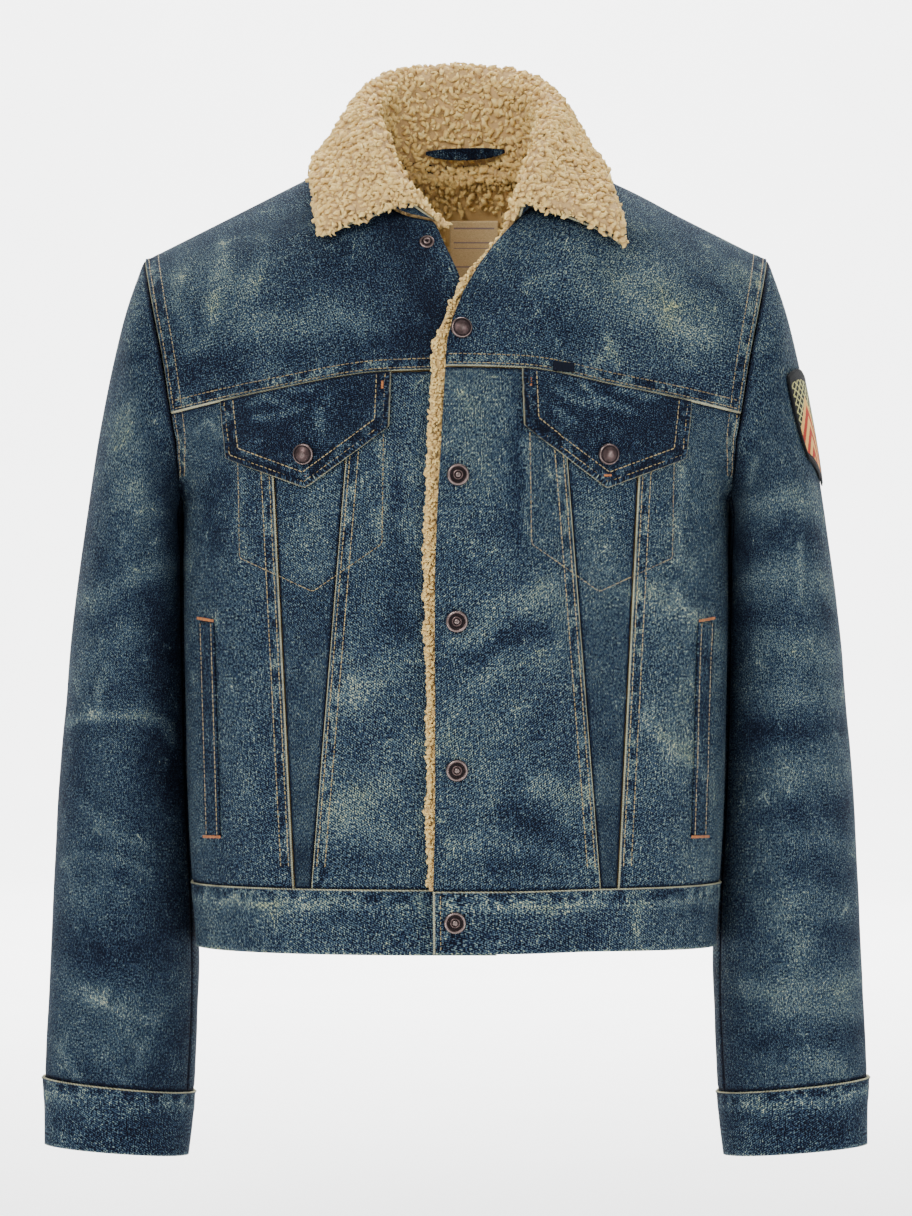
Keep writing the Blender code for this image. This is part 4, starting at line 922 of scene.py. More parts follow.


# Soft strokes of wear, and one of painted shadow: half-width in mm, share of the dye gone (below 0 darker), mm that the
# cloth stands up, then x and z in mm of every point along the line.
fadeAndShadeStrokes = [
    (2.6, 0.85, 0.2, -148, -206, -135, -203, -118, -198),
    (2.6, 0.8, 0.2, -152, -197, -140, -190, -126, -193),
    (2.4, 0.7, 0.2, -121, -182, -107, -187),
    (2.4, 0.7, 0.2, -101, -203, -97, -216),
    (2.6, 0.8, 0.2, 74, -186, 88, -193, 101, -196),
    (2.4, 0.85, 0.2, 92, -181, 99, -191, 113, -199, 127, -203),
    (2.4, 0.7, 0.2, 68, -199, 84, -207),
    (2.6, 0.7, 0.2, 116, -186, 136, -190, 148, -186),
    # painted shadow: a dark band down the right front near the neck, where the lapped left front stands over it
    (15, -0.60, 0, -42, -60, -28, -84, -17, -120, -10, -150),
    (22, 0.3, 0, -198, -87, -162, -120, -142, -152),
    (5, 0.5, 0.4, -176, -74, -178, -120, -187, -149),
    (6, 0.42, 0, -208, -92, -205, -120, -198, -152),
    (6, 0.32, 0, -142, -70, -148, -92, -154, -112),
    (12, 0.28, 0, -114, -138, -85, -131, -67, -136),
    (10, -0.32, 0, -195, -169, -143, -158, -85, -154, -34, -150),
    (20, -0.22, 0, -92, -90, -56, -112, -34, -142),
    (2.6, 0.6, 0.3, -190, -211, -184, -206, -171, -219),
    (3, 0.45, 0.2, -160, -244, -160, -281, -157, -307),
    (3, 0.5, 0.2, -53, -222, -51, -259, -55, -295),
    (14, 0.28, 0, -105, -259, -105, -317),
    (12, 0.5, 0.8, -24, -448, -56, -475, -85, -497),
    (25, 0.26, 0, -34, -497, -59, -508, -78, -486),
    (8, 0.42, 0.6, -37, -385, -59, -401, -78, -412),
    (5, 0.28, 0.3, -41, -372, -61, -386, -76, -404),
    (6, -0.32, 0, -47, -251, -42, -310, -41, -368),
    (9, 0.18, 0, -34, -244, -32, -295),
    (8, -0.28, 0, -45, -529, -85, -528, -129, -529),
    (11, 0.2, 0, -169, -412, -162, -456, -154, -486),
    (10, -0.2, 0, -179, -251, -180, -295),
    (22, 0.36, 0, 135, -92, 164, -120, 179, -145),
    (14, 0.26, 0, 120, -120, 146, -134, 171, -142),
    (16, 0.18, 0, 76, -98, 105, -92, 135, -105),
    (16, -0.32, 0, 25, -112, 47, -127, 76, -142),
    (2.4, 0.55, 0.3, 108, -147, 114, -158, 122, -169),
    (2.4, 0.45, 0.2, 114, -158, 105, -166),
    (2.6, 0.38, 0.2, 52, -111, 65, -101, 81, -96),
    (9, 0.28, 0, 204, -98, 217, -120, 223, -149),
    (6, 0.45, 0.3, 209, -89, 228, -99),
    (20, 0.26, 0, -4, -178, 32, -207, 29, -244),
    (7, -0.42, -0.3, 47, -193, 44, -244, 48, -295),
    (3, 0.42, 0.2, 53, -222, 51, -266, 54, -299),
    (14, 0.28, 0, 105, -259, 110, -332),
    (14, 0.42, 0.6, 10, -368, 32, -346, 70, -332),
    (8, -0.42, -0.4, 10, -379, 32, -368, 54, -365),
    (10, 0.22, 0, 76, -379, 32, -389, 10, -405),
    (9, 0.42, 0.5, 146, -332, 171, -350, 187, -368),
    (2.2, 0.55, 0.3, 164, -328, 167, -339, 184, -357),
    (5, 0.5, 0.6, 135, -427, 160, -445, 184, -469),
    (7, 0.28, 0.3, 142, -412, 171, -438, 186, -456),
    (9, 0.38, 0.3, 58, -476, 76, -474, 98, -478),
    (9, -0.42, -0.4, 32, -494, 61, -504, 87, -515),
    (7, -0.38, 0, 25, -535, 47, -534, 72, -538),
    (18, 0.18, 0, -12, -412, 10, -442, 18, -486),
    (6, 0.28, 0, -1, -522, 18, -511, 47, -522),
    (3, 0.5, 0.2, 166, -237, 165, -281, 163, -310),
    (2.6, 0.5, 0.3, 212, -222, 224, -231, 217, -248),
    (3, 0.35, 0, 204, -207, 214, -216),
    (3, 0.4, 0.2, 138, -563, 135, -577, 132, -592),
    (5, 0.3, 0, -151, -562, -114, -565, -81, -559),
    (5, 0.3, 0, 18, -562, 54, -566, 105, -559),
    (12, 0.34, 0, -257, -183, -254, -217, -249, -255),
    (9, 0.24, 0, -249, -202, -240, -240, -233, -278),
    (9, 0.42, 0.9, -210, -309, -233, -320, -274, -339),
    (8, 0.28, 0.5, -248, -362, -271, -377, -290, -400),
    (3.4, 0.7, 0.7, -296, -435, -284, -427, -270, -424, -240, -427, -220, -433, -213, -448),
    (3.4, 0.48, 0.5, -272, -424, -268, -407, -261, -388),
    (3, 0.35, 0.4, -286, -491, -271, -502, -256, -514, -234, -526),
    (3, 0.4, 0.4, -301, -541, -290, -533, -270, -531, -248, -538, -232, -549),
    (3, 0.5, 0.5, -280, -635, -268, -640, -263, -631),
    (3, 0.45, 0.6, -280, -640, -267, -643, -253, -652, -240, -658, -227, -660),
    (16, 0.22, 0, -286, -632, -255, -643, -233, -654),
    (4, 0.38, 0.3, -301, -681, -290, -700, -282, -711),
    (3, 0.34, 0.2, -233, -677, -240, -696),
    (3, 0.3, 0.2, -263, -681, -254, -704),
    (14, -0.28, -0.4, -293, -597, -263, -609, -233, -605),
    (9, -0.28, 0, -229, -339, -221, -415, -217, -491),
    (14, -0.15, 0, -290, -449, -282, -483),
    (8, 0.3, 0, -233, -65, -240, -103, -248, -134),
    (5, 0.42, 0.2, -316, -715, -286, -727, -240, -730),
    (2.6, 0.6, 0.3, -277, -733, -282, -742, -289, -751),
    (6, -0.32, 0, -301, -738, -263, -746, -233, -742),
    (11, 0.34, 0.5, 220, -267, 254, -263, 284, -272),
    (9, -0.38, -0.5, 216, -297, 250, -290, 273, -293),
    (9, 0.34, 0.5, 223, -320, 254, -316, 288, -331),
    (2.2, 0.4, 0.2, 261, -293, 254, -312, 261, -339),
    (8, -0.28, -0.4, 220, -347, 254, -353, 292, -347),
    (9, 0.28, 0.3, 231, -369, 269, -377, 299, -381),
    (8, 0.34, 0.5, 220, -407, 261, -415, 296, -407),
    (8, -0.38, -0.5, 223, -434, 261, -442, 298, -432),
    (8, 0.28, 0.3, 220, -464, 254, -472, 299, -468),
    (8, -0.28, -0.3, 231, -499, 269, -502, 299, -495),
    (8, 0.24, 0.2, 254, -521, 284, -520, 303, -525),
    (9, -0.28, -0.3, 254, -544, 284, -548, 307, -543),
    (12, 0.28, 0, 239, -567, 261, -590, 258, -620),
    (9, -0.34, -0.4, 261, -586, 292, -594, 309, -590),
    (9, 0.42, 0.6, 223, -632, 261, -635, 313, -628),
    (7, 0.28, 0.3, 246, -651, 277, -647, 311, -652),
    (7, -0.34, -0.3, 231, -673, 269, -675, 311, -670),
    (7, 0.24, 0, 261, -689, 292, -692),
    (14, 0.18, 0, 254, -126, 261, -172, 254, -210),
    (5, 0.42, 0.2, 212, -719, 254, -725, 307, -717),
    (3, 0.5, 0.3, 220, -757, 225, -746, 222, -736),
    (6, -0.32, 0, 231, -738, 261, -742, 299, -738),
]

# The back, as seen from behind: blade and waist creases and the wear on them.
backStrokes = [
    (26, 0.30, 0, -120, -95, -60, -105),
    (24, 0.26, 0, 70, -98, 130, -108),
    (10, 0.32, 0.8, -175, -300, -120, -330, -70, -345),
    (8, 0.28, 0.7, 182, -290, 130, -322, 88, -330),
    (9, -0.26, -0.5, -170, -325, -110, -352),
    (12, 0.30, 0.8, -60, -470, 0, -455, 52, -468),
    (9, -0.28, -0.4, -58, -490, 10, -478, 60, -492),
    (7, 0.26, 0.6, -182, -430, -130, -450),
    (8, 0.24, 0.6, 185, -440, 140, -462),
    (30, 0.20, 0, 0, -250, 6, -380),
    (4, 0.40, 0.4, -30, -200, 14, -212, 48, -204),
    (8, -0.28, 0, -150, -520, -40, -528),
    (9, 0.30, 0.8, 255, -420, 290, -440),
    (7, 0.30, 0.7, 225, -455, 280, -470),
    (8, -0.26, -0.4, 232, -500, 292, -512),
    (9, 0.32, 0.7, -290, -425, -240, -452),
    (6, 0.34, 0.6, -282, -470, -225, -490),
    (8, 0.26, 0.5, -296, -580, -230, -600),
    (8, 0.26, 0.5, 300, -590, 236, -612),
]


farOff = 99  # mm, for cloth with no such edge near


# least distance from each place to any of the lines, each line a run of points
def distanceTo(places, lines, most=0.099):
    best = np.full(len(places), most)
    for line in lines:
        start, way = line[:-1], np.diff(line, axis=0)
        size = np.maximum((way ** 2).sum(-1), 1e-12)
        for first in range(0, len(places), 4000):
            some = places[first:first + 4000]
            off = some[:, None] - start
            along = np.clip((off * way).sum(-1) / size, 0, 1)
            gap = np.sqrt(((off - along[..., None] * way) ** 2).sum(-1)).min(axis=1)
            best[first:first + 4000] = np.minimum(best[first:first + 4000], gap)
    return best


# (dye gone, less where a stroke paints shadow; metres stood up) from the strokes, for places whose cloth faces along
# normals
def wearAndShadeAt(places, normals):
    fade, lift = np.zeros(len(places)), np.zeros(len(places))
    for rows, facing in ((fadeAndShadeStrokes, -normals[:, 1]), (backStrokes, normals[:, 1])):
        seen = ease(facing * 1.8 + 0.15)
        flat = places[:, [0, 2]] * 1000
        # a slow wander keeps the strokes from looking ruled
        flat = flat + 2.2 * np.stack([np.sin(flat[:, 1] * 0.11 + 1.3), np.sin(flat[:, 0] * 0.09 + 0.4)], axis=-1)
        for wide, gone, high, *line in rows:
            run = np.array(line, float).reshape(-1, 2)
            spread = hump(distanceTo(flat, [run], 999), 0, wide) * seen
            fade += 0.40 * gone * spread
            lift += high * spread
    return 0.34 * np.tanh(fade / 0.34), lift / 1000


# -1 to 1: the uneven bunching that a seam's thread pulls into the cloth beside it
def pucker(places):
    x, y, z = places.T * 1000
    slant = 0.62 * x + 0.35 * y + 0.78 * z
    beat = np.sin(slant * 0.62 + 1.7 * np.sin(x * 0.051 + z * 0.043) + 0.9 * np.sin(z * 0.13))
    return beat * (0.55 + 0.45 * np.sin(slant * 0.173 + x * 0.08))


# metres that a turned edge stands up: a roll beside the edge, then a puckered band to 10 mm
def ropeLift(gap, places):
    mm = gap * 1000
    roll = 0.80 * hump(mm, 1.2, 0.9) - 0.25 * hump(mm, 0, 0.5)
    band = ease(mm / 1.6) * (1 - ease((mm - 8.5) / 3.5))
    return (roll + band * (0.30 + 0.34 * pucker(places))) / 1000


# metres that cloth dips beside a seam it runs under: a hump turned downwards
def grooveDip(gap):
    return -0.0007 * hump(gap, 0, 0.0024)


# quads of a rows x columns grid of points
def gridFaces(rows, columns, turnedOver=False):
    i, j = np.meshgrid(np.arange(rows - 1), np.arange(columns - 1), indexing="ij")
    a = (i * columns + j).ravel()
    faces = np.stack([a, a + columns, a + columns + 1, a + 1], axis=-1)
    return faces[:, ::-1] if turnedOver else faces


def putInScene(name, data):
    made = bpy.data.objects.new(name, data)
    bpy.context.scene.collection.objects.link(made)
    return made


# one smooth piece from its points and faces, with flat maps and a value at each point
def meshPiece(name, places, faces, material, maps=None, values=None):
    mesh = bpy.data.meshes.new(name)
    mesh.vertices.add(len(places))
    mesh.vertices.foreach_set("co", np.asarray(places, np.float32).ravel())
    mesh.loops.add(faces.size)
    mesh.loops.foreach_set("vertex_index", np.asarray(faces, np.int32).ravel())
    mesh.polygons.add(len(faces))
    mesh.polygons.foreach_set("loop_start", np.arange(0, faces.size, faces.shape[1], dtype=np.int32))
    mesh.update(calc_edges=True)
    mesh.validate()
    corners = np.empty(len(mesh.loops), np.int32)
    mesh.loops.foreach_get("vertex_index", corners)
    for label, flat in (maps or {}).items():
        mesh.uv_layers.new(name=label).data.foreach_set("uv", np.asarray(flat, np.float32)[corners].ravel())
    for label, value in (values or {}).items():
        each = np.zeros(len(places), np.float32) + np.asarray(value, np.float32)
        mesh.attributes.new(label, "FLOAT", "POINT").data.foreach_set("value", each)
    mesh.shade_smooth()
    mesh.materials.append(material)
    piece = putInScene(name, mesh)
    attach(piece, "root")
    return piece


# joins the points where a closed piece meets itself
def weldSeam(piece):
    made = bmesh.new()
    made.from_mesh(piece.data)
    bmesh.ops.remove_doubles(made, verts=made.verts, dist=1e-6)
    made.to_mesh(piece.data)
    made.free()


# where grid lines fall over a length: close beside each seam edge, then a cell apart
def linesFor(length, cell, nearStart=False, nearEnd=False):
    near = np.array([0.0, 0.5, 1.1, 1.8, 2.7, 3.8, 5.2]) / 1000
    start = near if nearStart else near[:1]
    end = length - (near if nearEnd else near[:1])[::-1]
    count = max(int(round((end[0] - start[-1]) / cell)), 1)
    middle = np.linspace(start[-1], end[0], count + 1)[1:-1]
    return np.concatenate([start, middle, end]) / length


# the length of a run of points
def runLength(points):
    return float(np.linalg.norm(np.diff(points, axis=0), axis=1).sum())


shortestSheet = 0.0102  # a sheet can't be stated shorter than 10 mm


# (width, length, area) of the cloth a grid of points was cut from
def cutOf(places, rows, columns):
    grid = places.reshape(rows, columns, 3)
    across = np.linalg.norm(np.diff(grid, axis=0), axis=-1)
    along = np.linalg.norm(np.diff(grid, axis=1), axis=-1)
    width = float(across.sum(axis=0).max())
    length = max(float(along.sum(axis=1).max()), shortestSheet)
    a, b = grid[1:, 1:] - grid[:-1, :-1], grid[1:, :-1] - grid[:-1, 1:]
    return width, length, float(np.linalg.norm(np.cross(a, b), axis=-1).sum() / 2)


cutList = []


# A cloth shell. surface gives the smooth places of (u, v), skin adds the relief and the wear.
def clothPiece(node, surface, skin, uLines, vLines, look):
    u, v = pairs(uLines, vLines)
    smoothPlaces = surface(u, v)
    places, values = skin(smoothPlaces, u, v)
    width, length, area = cutOf(smoothPlaces, len(uLines), len(vLines))
    flat = np.stack([u * width, v * length], axis=-1) * 1000
    faces = gridFaces(len(uLines), len(vLines), look.get("turnedOver", False))
    piece = meshPiece(node + "_cloth", places, faces, look.get("material", denim),
                      {"cloth": flat + look.get("shift", 0), "share": np.stack([u, v], axis=-1)}, values)
    wall = piece.modifiers.new("wall", "SOLIDIFY")
    wall.thickness, wall.offset = look["thick"], look.get("offset", -1)
    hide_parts(node)
    cutList.append((node, round(width * 1000), round(length * 1000)))
    return piece


# spots -> skin points for cloth on the body: base place, then relief along the normal
def bodySkin(spots, look):
    side = look.get("side", 1)
    turn, rise = side * spots[:, 0], spots[:, 1]
    normals = bodyNormal(turn, rise)
    base = bodyAt(turn, rise, 0.0, look.get("lifted", False))
    fade, lift = wearAndShadeAt(base, normals)
    ridge = distanceTo(base, look.get("ridgeRuns", []))
    groove = distanceTo(base, look.get("grooveRuns", []))
    high = lift + look.get("out", 0.0)
    if look.get("ridgeRuns"):
        high = high + ropeLift(ridge, base)
    if look.get("grooveRuns"):
        high = high + grooveDip(groove)
    return base, normals, high, {"fade": look.get("fade", 0.40) + fade, "ridge": ridge * 1000 + look.get("dull", 0),
                                 "groove": groove * 1000}


# a line of (turn, rise) spots as a run of places on the body
def runOf(line, look):
    spots = line(np.linspace(0, 1, 90))
    return bodyAt(look.get("side", 1) * spots[:, 0], spots[:, 1], 0.0, look.get("lifted", False))


# a panel laid on the body: its patch gives (turn, rise) and its look the relief and wear
def bodyPiece(node, patch, look):
    side = look.get("side", 1)
    look["ridgeRuns"] = [runOf(line, look) for line in look.get("ridges", [])]
    look["grooveRuns"] = [runOf(line, look) for line in look.get("grooves", [])]
    steps = np.linspace(0, 1, 30)
    middle = np.full(30, 0.5)
    width = runLength(bodyAt(*patch(steps, middle).T))
    length = runLength(bodyAt(*patch(middle, steps).T))
    left, right, low, top = look.get("fine", (0, 0, 0, 0))
    uLines = linesFor(width, look.get("cell", 0.0043), left, right)
    vLines = linesFor(length, look.get("cell", 0.0043), low, top)

    def surface(u, v):
        spots = patch(u, v)
        return bodyAt(side * spots[:, 0], spots[:, 1], look.get("out", 0.0), look.get("lifted", False))

    def skin(smoothPlaces, u, v):
        base, normals, high, values = bodySkin(patch(u, v), look)
        return base + normals * high[:, None], values

    look.setdefault("turnedOver", side < 0)
    return clothPiece(node, surface, skin, uLines, vLines, dict(look, thick=look.get("thick", denimThick)))


# every row of topstitching is walked at an even pitch and gathered into one piece
stitchRuns = []
pitch, stitchSize = 0.0035, 1.08


# runs of stitches along places with normals; tone 0 is brown thread and 1 is cream
def addRow(places, normals, tone):
    far = farAlong(places)
    count = max(int(far[-1] / pitch), 1)
    at = (np.arange(count) + 0.5) * far[-1] / count
    centre, ahead, behind = [readRun(at + pitch * share, far, places) for share in (0, 0.4, -0.4)]
    stitchRuns.append((centre, ahead - behind, readRun(at, far, normals), np.full(count, tone),
                       np.full(count, stitchSize)))


# a row of stitches on the body, lying on the relief that its panel has there
def bodyRow(line, look, tone, count=160):
    spots = line(np.linspace(0, 1, count))
    base, normals, high, _ = bodySkin(spots, look)
    addRow(base + normals * (high + 0.00012)[:, None], normals, tone)


# quads of many closed tubes of four or six sides, their rings turning round the way ahead
def tubeFaces(count, rings, sides):
    ring, turn = pairs(np.arange(rings - 1), np.arange(sides))
    a, b = ring * sides + turn, ring * sides + (turn + 1) % sides
    start = np.array([[3, 2, 1, 0], [5, 4, 3, 0]] if sides == 6 else [[3, 2, 1, 0]])
    one = np.concatenate([np.stack([a, b, b + sides, a + sides], axis=-1), start, start[:, ::-1] + (rings - 1) * sides])
    return (one[None] + sides * rings * np.arange(count)[:, None, None]).reshape(-1, 4)


# Each stitch is a flattened capsule: rings of six points along it, drawn in to both ends.
def stitchPiece(name, runs, material):
    centre, way, normal, tone, size = [np.concatenate([run[k] for run in runs]) for k in range(5)]
    way = unit(way)
    normal = unit(normal - way * (normal * way).sum(1, keepdims=True))
    across = np.cross(normal, way)
    half, thick = 0.00128, 0.00029
    along = np.array([-1, -0.72, 0.72, 1.0])
    girth = np.array([0.22, 1, 1, 0.22])
    angle = np.arange(6) * math.pi / 3
    jitter = 1 + 0.10 * dice.standard_normal(len(centre))
    skew = across * (0.06 * dice.standard_normal(len(centre)))[:, None]
    s = (size * jitter)[:, None, None, None]
    spine = centre[:, None, None] + (way + skew)[:, None, None] * (along[None, :, None, None] * half * s)
    round1 = across[:, None, None] * (np.cos(angle)[None, None, :, None] * girth[None, :, None, None] * thick * 1.15)
    round2 = normal[:, None, None] * (np.sin(angle)[None, None, :, None] * girth[None, :, None, None] * thick * 0.8)
    places = (spine + (round1 + round2) * np.sqrt(s)).reshape(-1, 3)
    shade = np.repeat(np.clip(tone + 0.22 * dice.standard_normal(len(centre)), 0, 1), 24)
    piece = meshPiece(name, places, tubeFaces(len(centre), 4, 6), material, values={"tone": shade})
    print(name, len(centre), "stitches")
    return piece


seamTurn = math.pi / 2 - 0.002
frontCorner = armholeCorner(float(underYoke(0.213)))
yokeCorner = armholeCorner(float(yokeZ(0.213)))
# the pocket bag's stitches on the left front
bagLine = np.array([(0.1608, -0.237), (0.1598, -0.308), (0.105, -0.333), (0.054, -0.298), (0.053, -0.217)])

for half in frontSides:
    side, word, edge, neck = half["side"], half["label"], half["edge"], half["neck"]
    look = dict(side=side, lifted=half["lifted"])
    edgeX = lambda z: side * readAt(edge, "z", "x", z)
    innerA, innerB = seamX(wedgeInner, -halfGap), seamX(wedgeInner, halfGap)
    outerA, outerB = seamX(wedgeOuter, -halfGap), seamX(wedgeOuter, halfGap)
    heights = np.linspace(lowZ, float(underYoke(0.1)), 24)
    widths = np.linspace(-0.03, 0.213, 30)
    floorLine = levelLine(lowZ, widths)
    yokeLine = levelLine(yokeZ, widths)
    centreLook = dict(look, fade=0.375, ridges=[uprightLine(innerA, heights)], grooves=[floorLine, yokeLine],
                      fine=(0, 1, 1, 1), held="draped")
    bodyPiece(f"front_center_{word}", between(edgeX, innerA, lowZ, underYoke), centreLook)
    wedgeGrooves = [floorLine, yokeLine, uprightLine(innerA, heights), uprightLine(outerB, heights)]
    wedgeLook = dict(look, fade=0.33, grooves=wedgeGrooves, fine=(1, 1, 1, 1))
    bodyPiece(f"front_wedge_{word}", between(innerB, outerA, lowZ, underYoke), wedgeLook)

    inner = uprightLine(outerB, np.linspace(lowZ, underYoke(0.1375), 9))
    bottom = straight(spotOf(outerB(lowZ), lowZ), (seamTurn, lowRise))
    arm = sideLine(seamTurn, frontCorner)
    endX = float(bodyBase(*arm(np.array([1.0]))[0])[0])
    top = levelLine(underYoke, np.linspace(float(outerB(-0.1)), endX, 9))
    armEdge = alongArmhole(pit, frontCorner)
    sideSeam = straight((seamTurn + 0.002, lowRise), (seamTurn + 0.002, pit))
    sideLook = dict(look, fade=0.37 + 0.03 * side, ridges=[uprightLine(outerB, heights), armEdge],
                    grooves=[floorLine, yokeLine, sideSeam], fine=(1, 1, 1, 1))
    bodyPiece(f"front_side_{word}", coons(bottom, top, inner, arm), sideLook)

    lowX = side * float(readAt(edge, "z", "x", yokeZ(0.0)))
    arm = alongArmhole(yokeCorner, ridgeRise)
    endX = float(bodyBase(*arm(np.array([0.0]))[0])[0])
    bottom = levelLine(yokeZ, np.linspace(lowX, endX, 11))
    rows = [(side * float(readAt(edge, "z", "x", z)), z) for z in np.linspace(float(yokeZ(0.0)), neck[0]["z"], 7)]
    curve = track([(side * row["x"], row["z"]) for row in neck])
    left = underRidge(joined(track(rows), curve, 0.60), ridgeRise)
    top = straight((float(onBody(neckHalf, -0.001)[0]), ridgeRise), arm(np.array([1.0]))[0])
    yokeLook = dict(look, fade=0.38 if side > 0 else 0.32, ridges=[bottom, arm], fine=(0, 1, 1, 0))
    bodyPiece(f"front_yoke_{word}", coons(bottom, top, left, arm), yokeLook)

    # topstitching of this front
    for far, tone in ((0.0026, 0.35), (0.0088, 0.25)):
        row = levelLine(lambda x: yokeZ(x) + far, np.linspace(lowX + 0.002, endX - 0.003, 30))
        bodyRow(row, yokeLook, tone)
    for far, tone in ((0.0030, 0.75), (0.0090, 0.70)):
        bodyRow(uprightLine(seamX(wedgeInner, -halfGap - far), heights[1:-1]), centreLook, tone)
        bodyRow(uprightLine(seamX(wedgeOuter, halfGap + far), heights[1:-1]), sideLook, tone)
    for far, tone in ((0.0028, 0.55), (0.0090, 0.45)):
        inward = np.array([far / sideReach, 0])
        bodyRow(lambda at: arm(at) - inward, yokeLook, tone)
        bodyRow(lambda at: armEdge(0.25 + 0.75 * np.asarray(at)) - inward, sideLook, tone)
    plain = dict(look, out=0.0002)
    steps = np.linspace(0, 4, 80)
    bag = np.stack([np.interp(steps, range(5), part) for part in bagLine.T], axis=-1)
    bodyRow(track(bag), plain, 0.25)
print("fronts made")


backYokeLow = backYokeZ - seamGap
backSeamTurn = math.pi / 2 + 0.002
backCorner = armholeCorner(backYokeLow, back=True)


def backSeamX(shift):
    return seamX(backSeam, shift, backYokeZ)


backHeights = np.linspace(lowZ, backYokeLow, 20)
backFloor = levelLine(lowZ, np.linspace(0.199, -0.199, 40), True)
backTop = levelLine(backYokeZ, np.linspace(0.225, -0.225, 40), True)
seamLines = [uprightLine(lambda z: s * backSeamX(0)(z), backHeights, True) for s in (1, -1)]
centreLook = dict(fade=0.42, grooves=[backFloor, backTop] + seamLines, fine=(1, 1, 1, 1))
bodyPiece("back_center", between(backSeamX(-halfGap), lambda z: -backSeamX(-halfGap)(z), lowZ, lambda x: backYokeLow,
                                 back=True), centreLook)
arm = sideLine(backSeamTurn, backCorner, back=True)
start, end = arm(np.array([1.0]))[0], spotOf(backSeamX(halfGap)(backYokeLow), backYokeLow, True)
top = levelLine(backYokeLow, np.linspace(float(bodyBase(*start)[0]), backSeamX(halfGap)(backYokeLow), 9), True)
bottom = straight((backSeamTurn, lowRise), spotOf(backSeamX(halfGap)(lowZ), lowZ, True))
inner = uprightLine(backSeamX(halfGap), np.linspace(lowZ, backYokeLow, 9), True)
armEdge = alongArmhole(pit, backCorner, back=True)
for side, word in ((1, "left"), (-1, "right")):
    sideLook = dict(side=side, fade=0.38, ridges=[inner, armEdge], grooves=[backFloor, backTop], fine=(1, 1, 1, 1))
    bodyPiece(f"back_side_{word}", coons(bottom, top, arm, inner), sideLook)
    for far, tone in ((0.0030, 0.7), (0.0090, 0.6)):
        bodyRow(uprightLine(backSeamX(halfGap + far), backHeights[1:-1], True), sideLook, tone)
# the yoke covers both shoulder blades, up to the ridge and the neckline
backArm = alongArmhole(armholeCorner(backYokeZ, back=True), ridgeRise, back=True)
backYokeLook = dict(fade=0.44, ridges=[backTop, backArm, mirrored(backArm)], fine=(1, 1, 1, 0))
startX = float(bodyBase(*backArm(np.array([0.0]))[0])[0])
bottom = levelLine(backYokeZ, np.linspace(startX, -startX, 17), True)
top = shoulderLine(backArm, 0.28, 0.72, ridgeRise)
bodyPiece("back_yoke", coons(bottom, top, backArm, mirrored(backArm)), backYokeLook)
for far, tone in ((0.0026, 0.4), (0.0088, 0.3)):
    bodyRow(levelLine(backYokeZ + far, np.linspace(0.218, -0.218, 60), True), backYokeLook, tone, 320)
print("back made")


# the waistband: one strip round the hips, its top edge and ends turned and worn
bandStart = spotOf(0.0300, -0.58)[0]
bandEnd = spotOf(-0.0165, -0.58)[0] - 2 * math.pi
bandLook = dict(fade=0.375, thick=doubleDenim, turnedOver=True, cell=0.0036, held="draped")


# the band's (turn, rise): once round from the right front's end, and up from hem to seam
def bandSpots(u, v):
    turn = bandStart + (bandEnd - bandStart) * u
    # the lap's hem is drawn up level with the hem under it
    raised = 0.0027 * ease(-turn / (math.pi / 2) - 3) * (1 - v)
    return np.stack([turn, hemZ - chestZ + (waistSeamZ + 0.0010 - hemZ) * v + raised], axis=-1)


# the band's smooth face, lying just off the hem; its end lies over the right front's
def bandBase(u, v):
    spots = bandSpots(u, v)
    return bodyAt(spots[:, 0], spots[:, 1], 0.0006, spots[:, 0] < -1.5 * math.pi)


bandWidth, bandHeight = runLength(bandBase(np.linspace(0, 1, 200), np.full(200, 0.5))), waistSeamZ - hemZ


# the band stands up by its wear, its rope, a rounded hem and a slack ridge below the top
def bandSkin(smoothPlaces, u, v):
    normals = bodyNormal(*bandSpots(u, v).T)
    fade, lift = wearAndShadeAt(smoothPlaces, normals)
    fromTop, fromLow = (1 - v) * bandHeight, v * bandHeight
    fromEnd = np.minimum(u, 1 - u) * bandWidth
    edge = np.minimum(fromTop, fromEnd)
    high = lift + ropeLift(edge, smoothPlaces) + 0.0003 * hump(fromLow, 0, 0.0016)
    # a second slack ridge follows the top band
    high = high + 0.0005 * hump(fromTop, 0.013, 0.004) * (0.6 + 0.4 * pucker(smoothPlaces * 0.5))
    fade = fade + 0.14 * hump(fromTop, 0.012, 0.004)
    fade = fade + 0.30 * hump(fromLow, 0, 0.0016)
    return smoothPlaces + normals * high[:, None], {"fade": bandLook["fade"] + fade, "ridge": edge * 1000,
                                                    "groove": farOff}


clothPiece("waistband", bandBase, bandSkin, linesFor(bandWidth, bandLook["cell"], True, True),
           linesFor(bandHeight, bandLook["cell"], True, True), bandLook)
u, v = np.full(40, 1 - 0.0035 / bandWidth), np.linspace(0.05, 0.95, 40)
normals = bodyNormal(*bandSpots(u, v).T)
addRow(bandSkin(bandBase(u, v), u, v)[0] + normals * 0.0001, normals, 0.5)
print("waistband made")


cuffHeight = 0.052
sleeveLength, sleeveAround = 0.56, dict(top=0.40, under=0.14)
sleeveLook = dict(gap=0.012, cell=0.0048, fade=0.34, thick=denimThick)
seamRuns = [sleevePoint(np.linspace(0, 2 * math.pi, 120), np.full(120, down)) for down in (0.0, 1.0)]
seamRuns += [sleevePoint(np.full(60, math.radians(turn)), np.linspace(0, 1, 60)) for turn in sleeveSeams.values()]


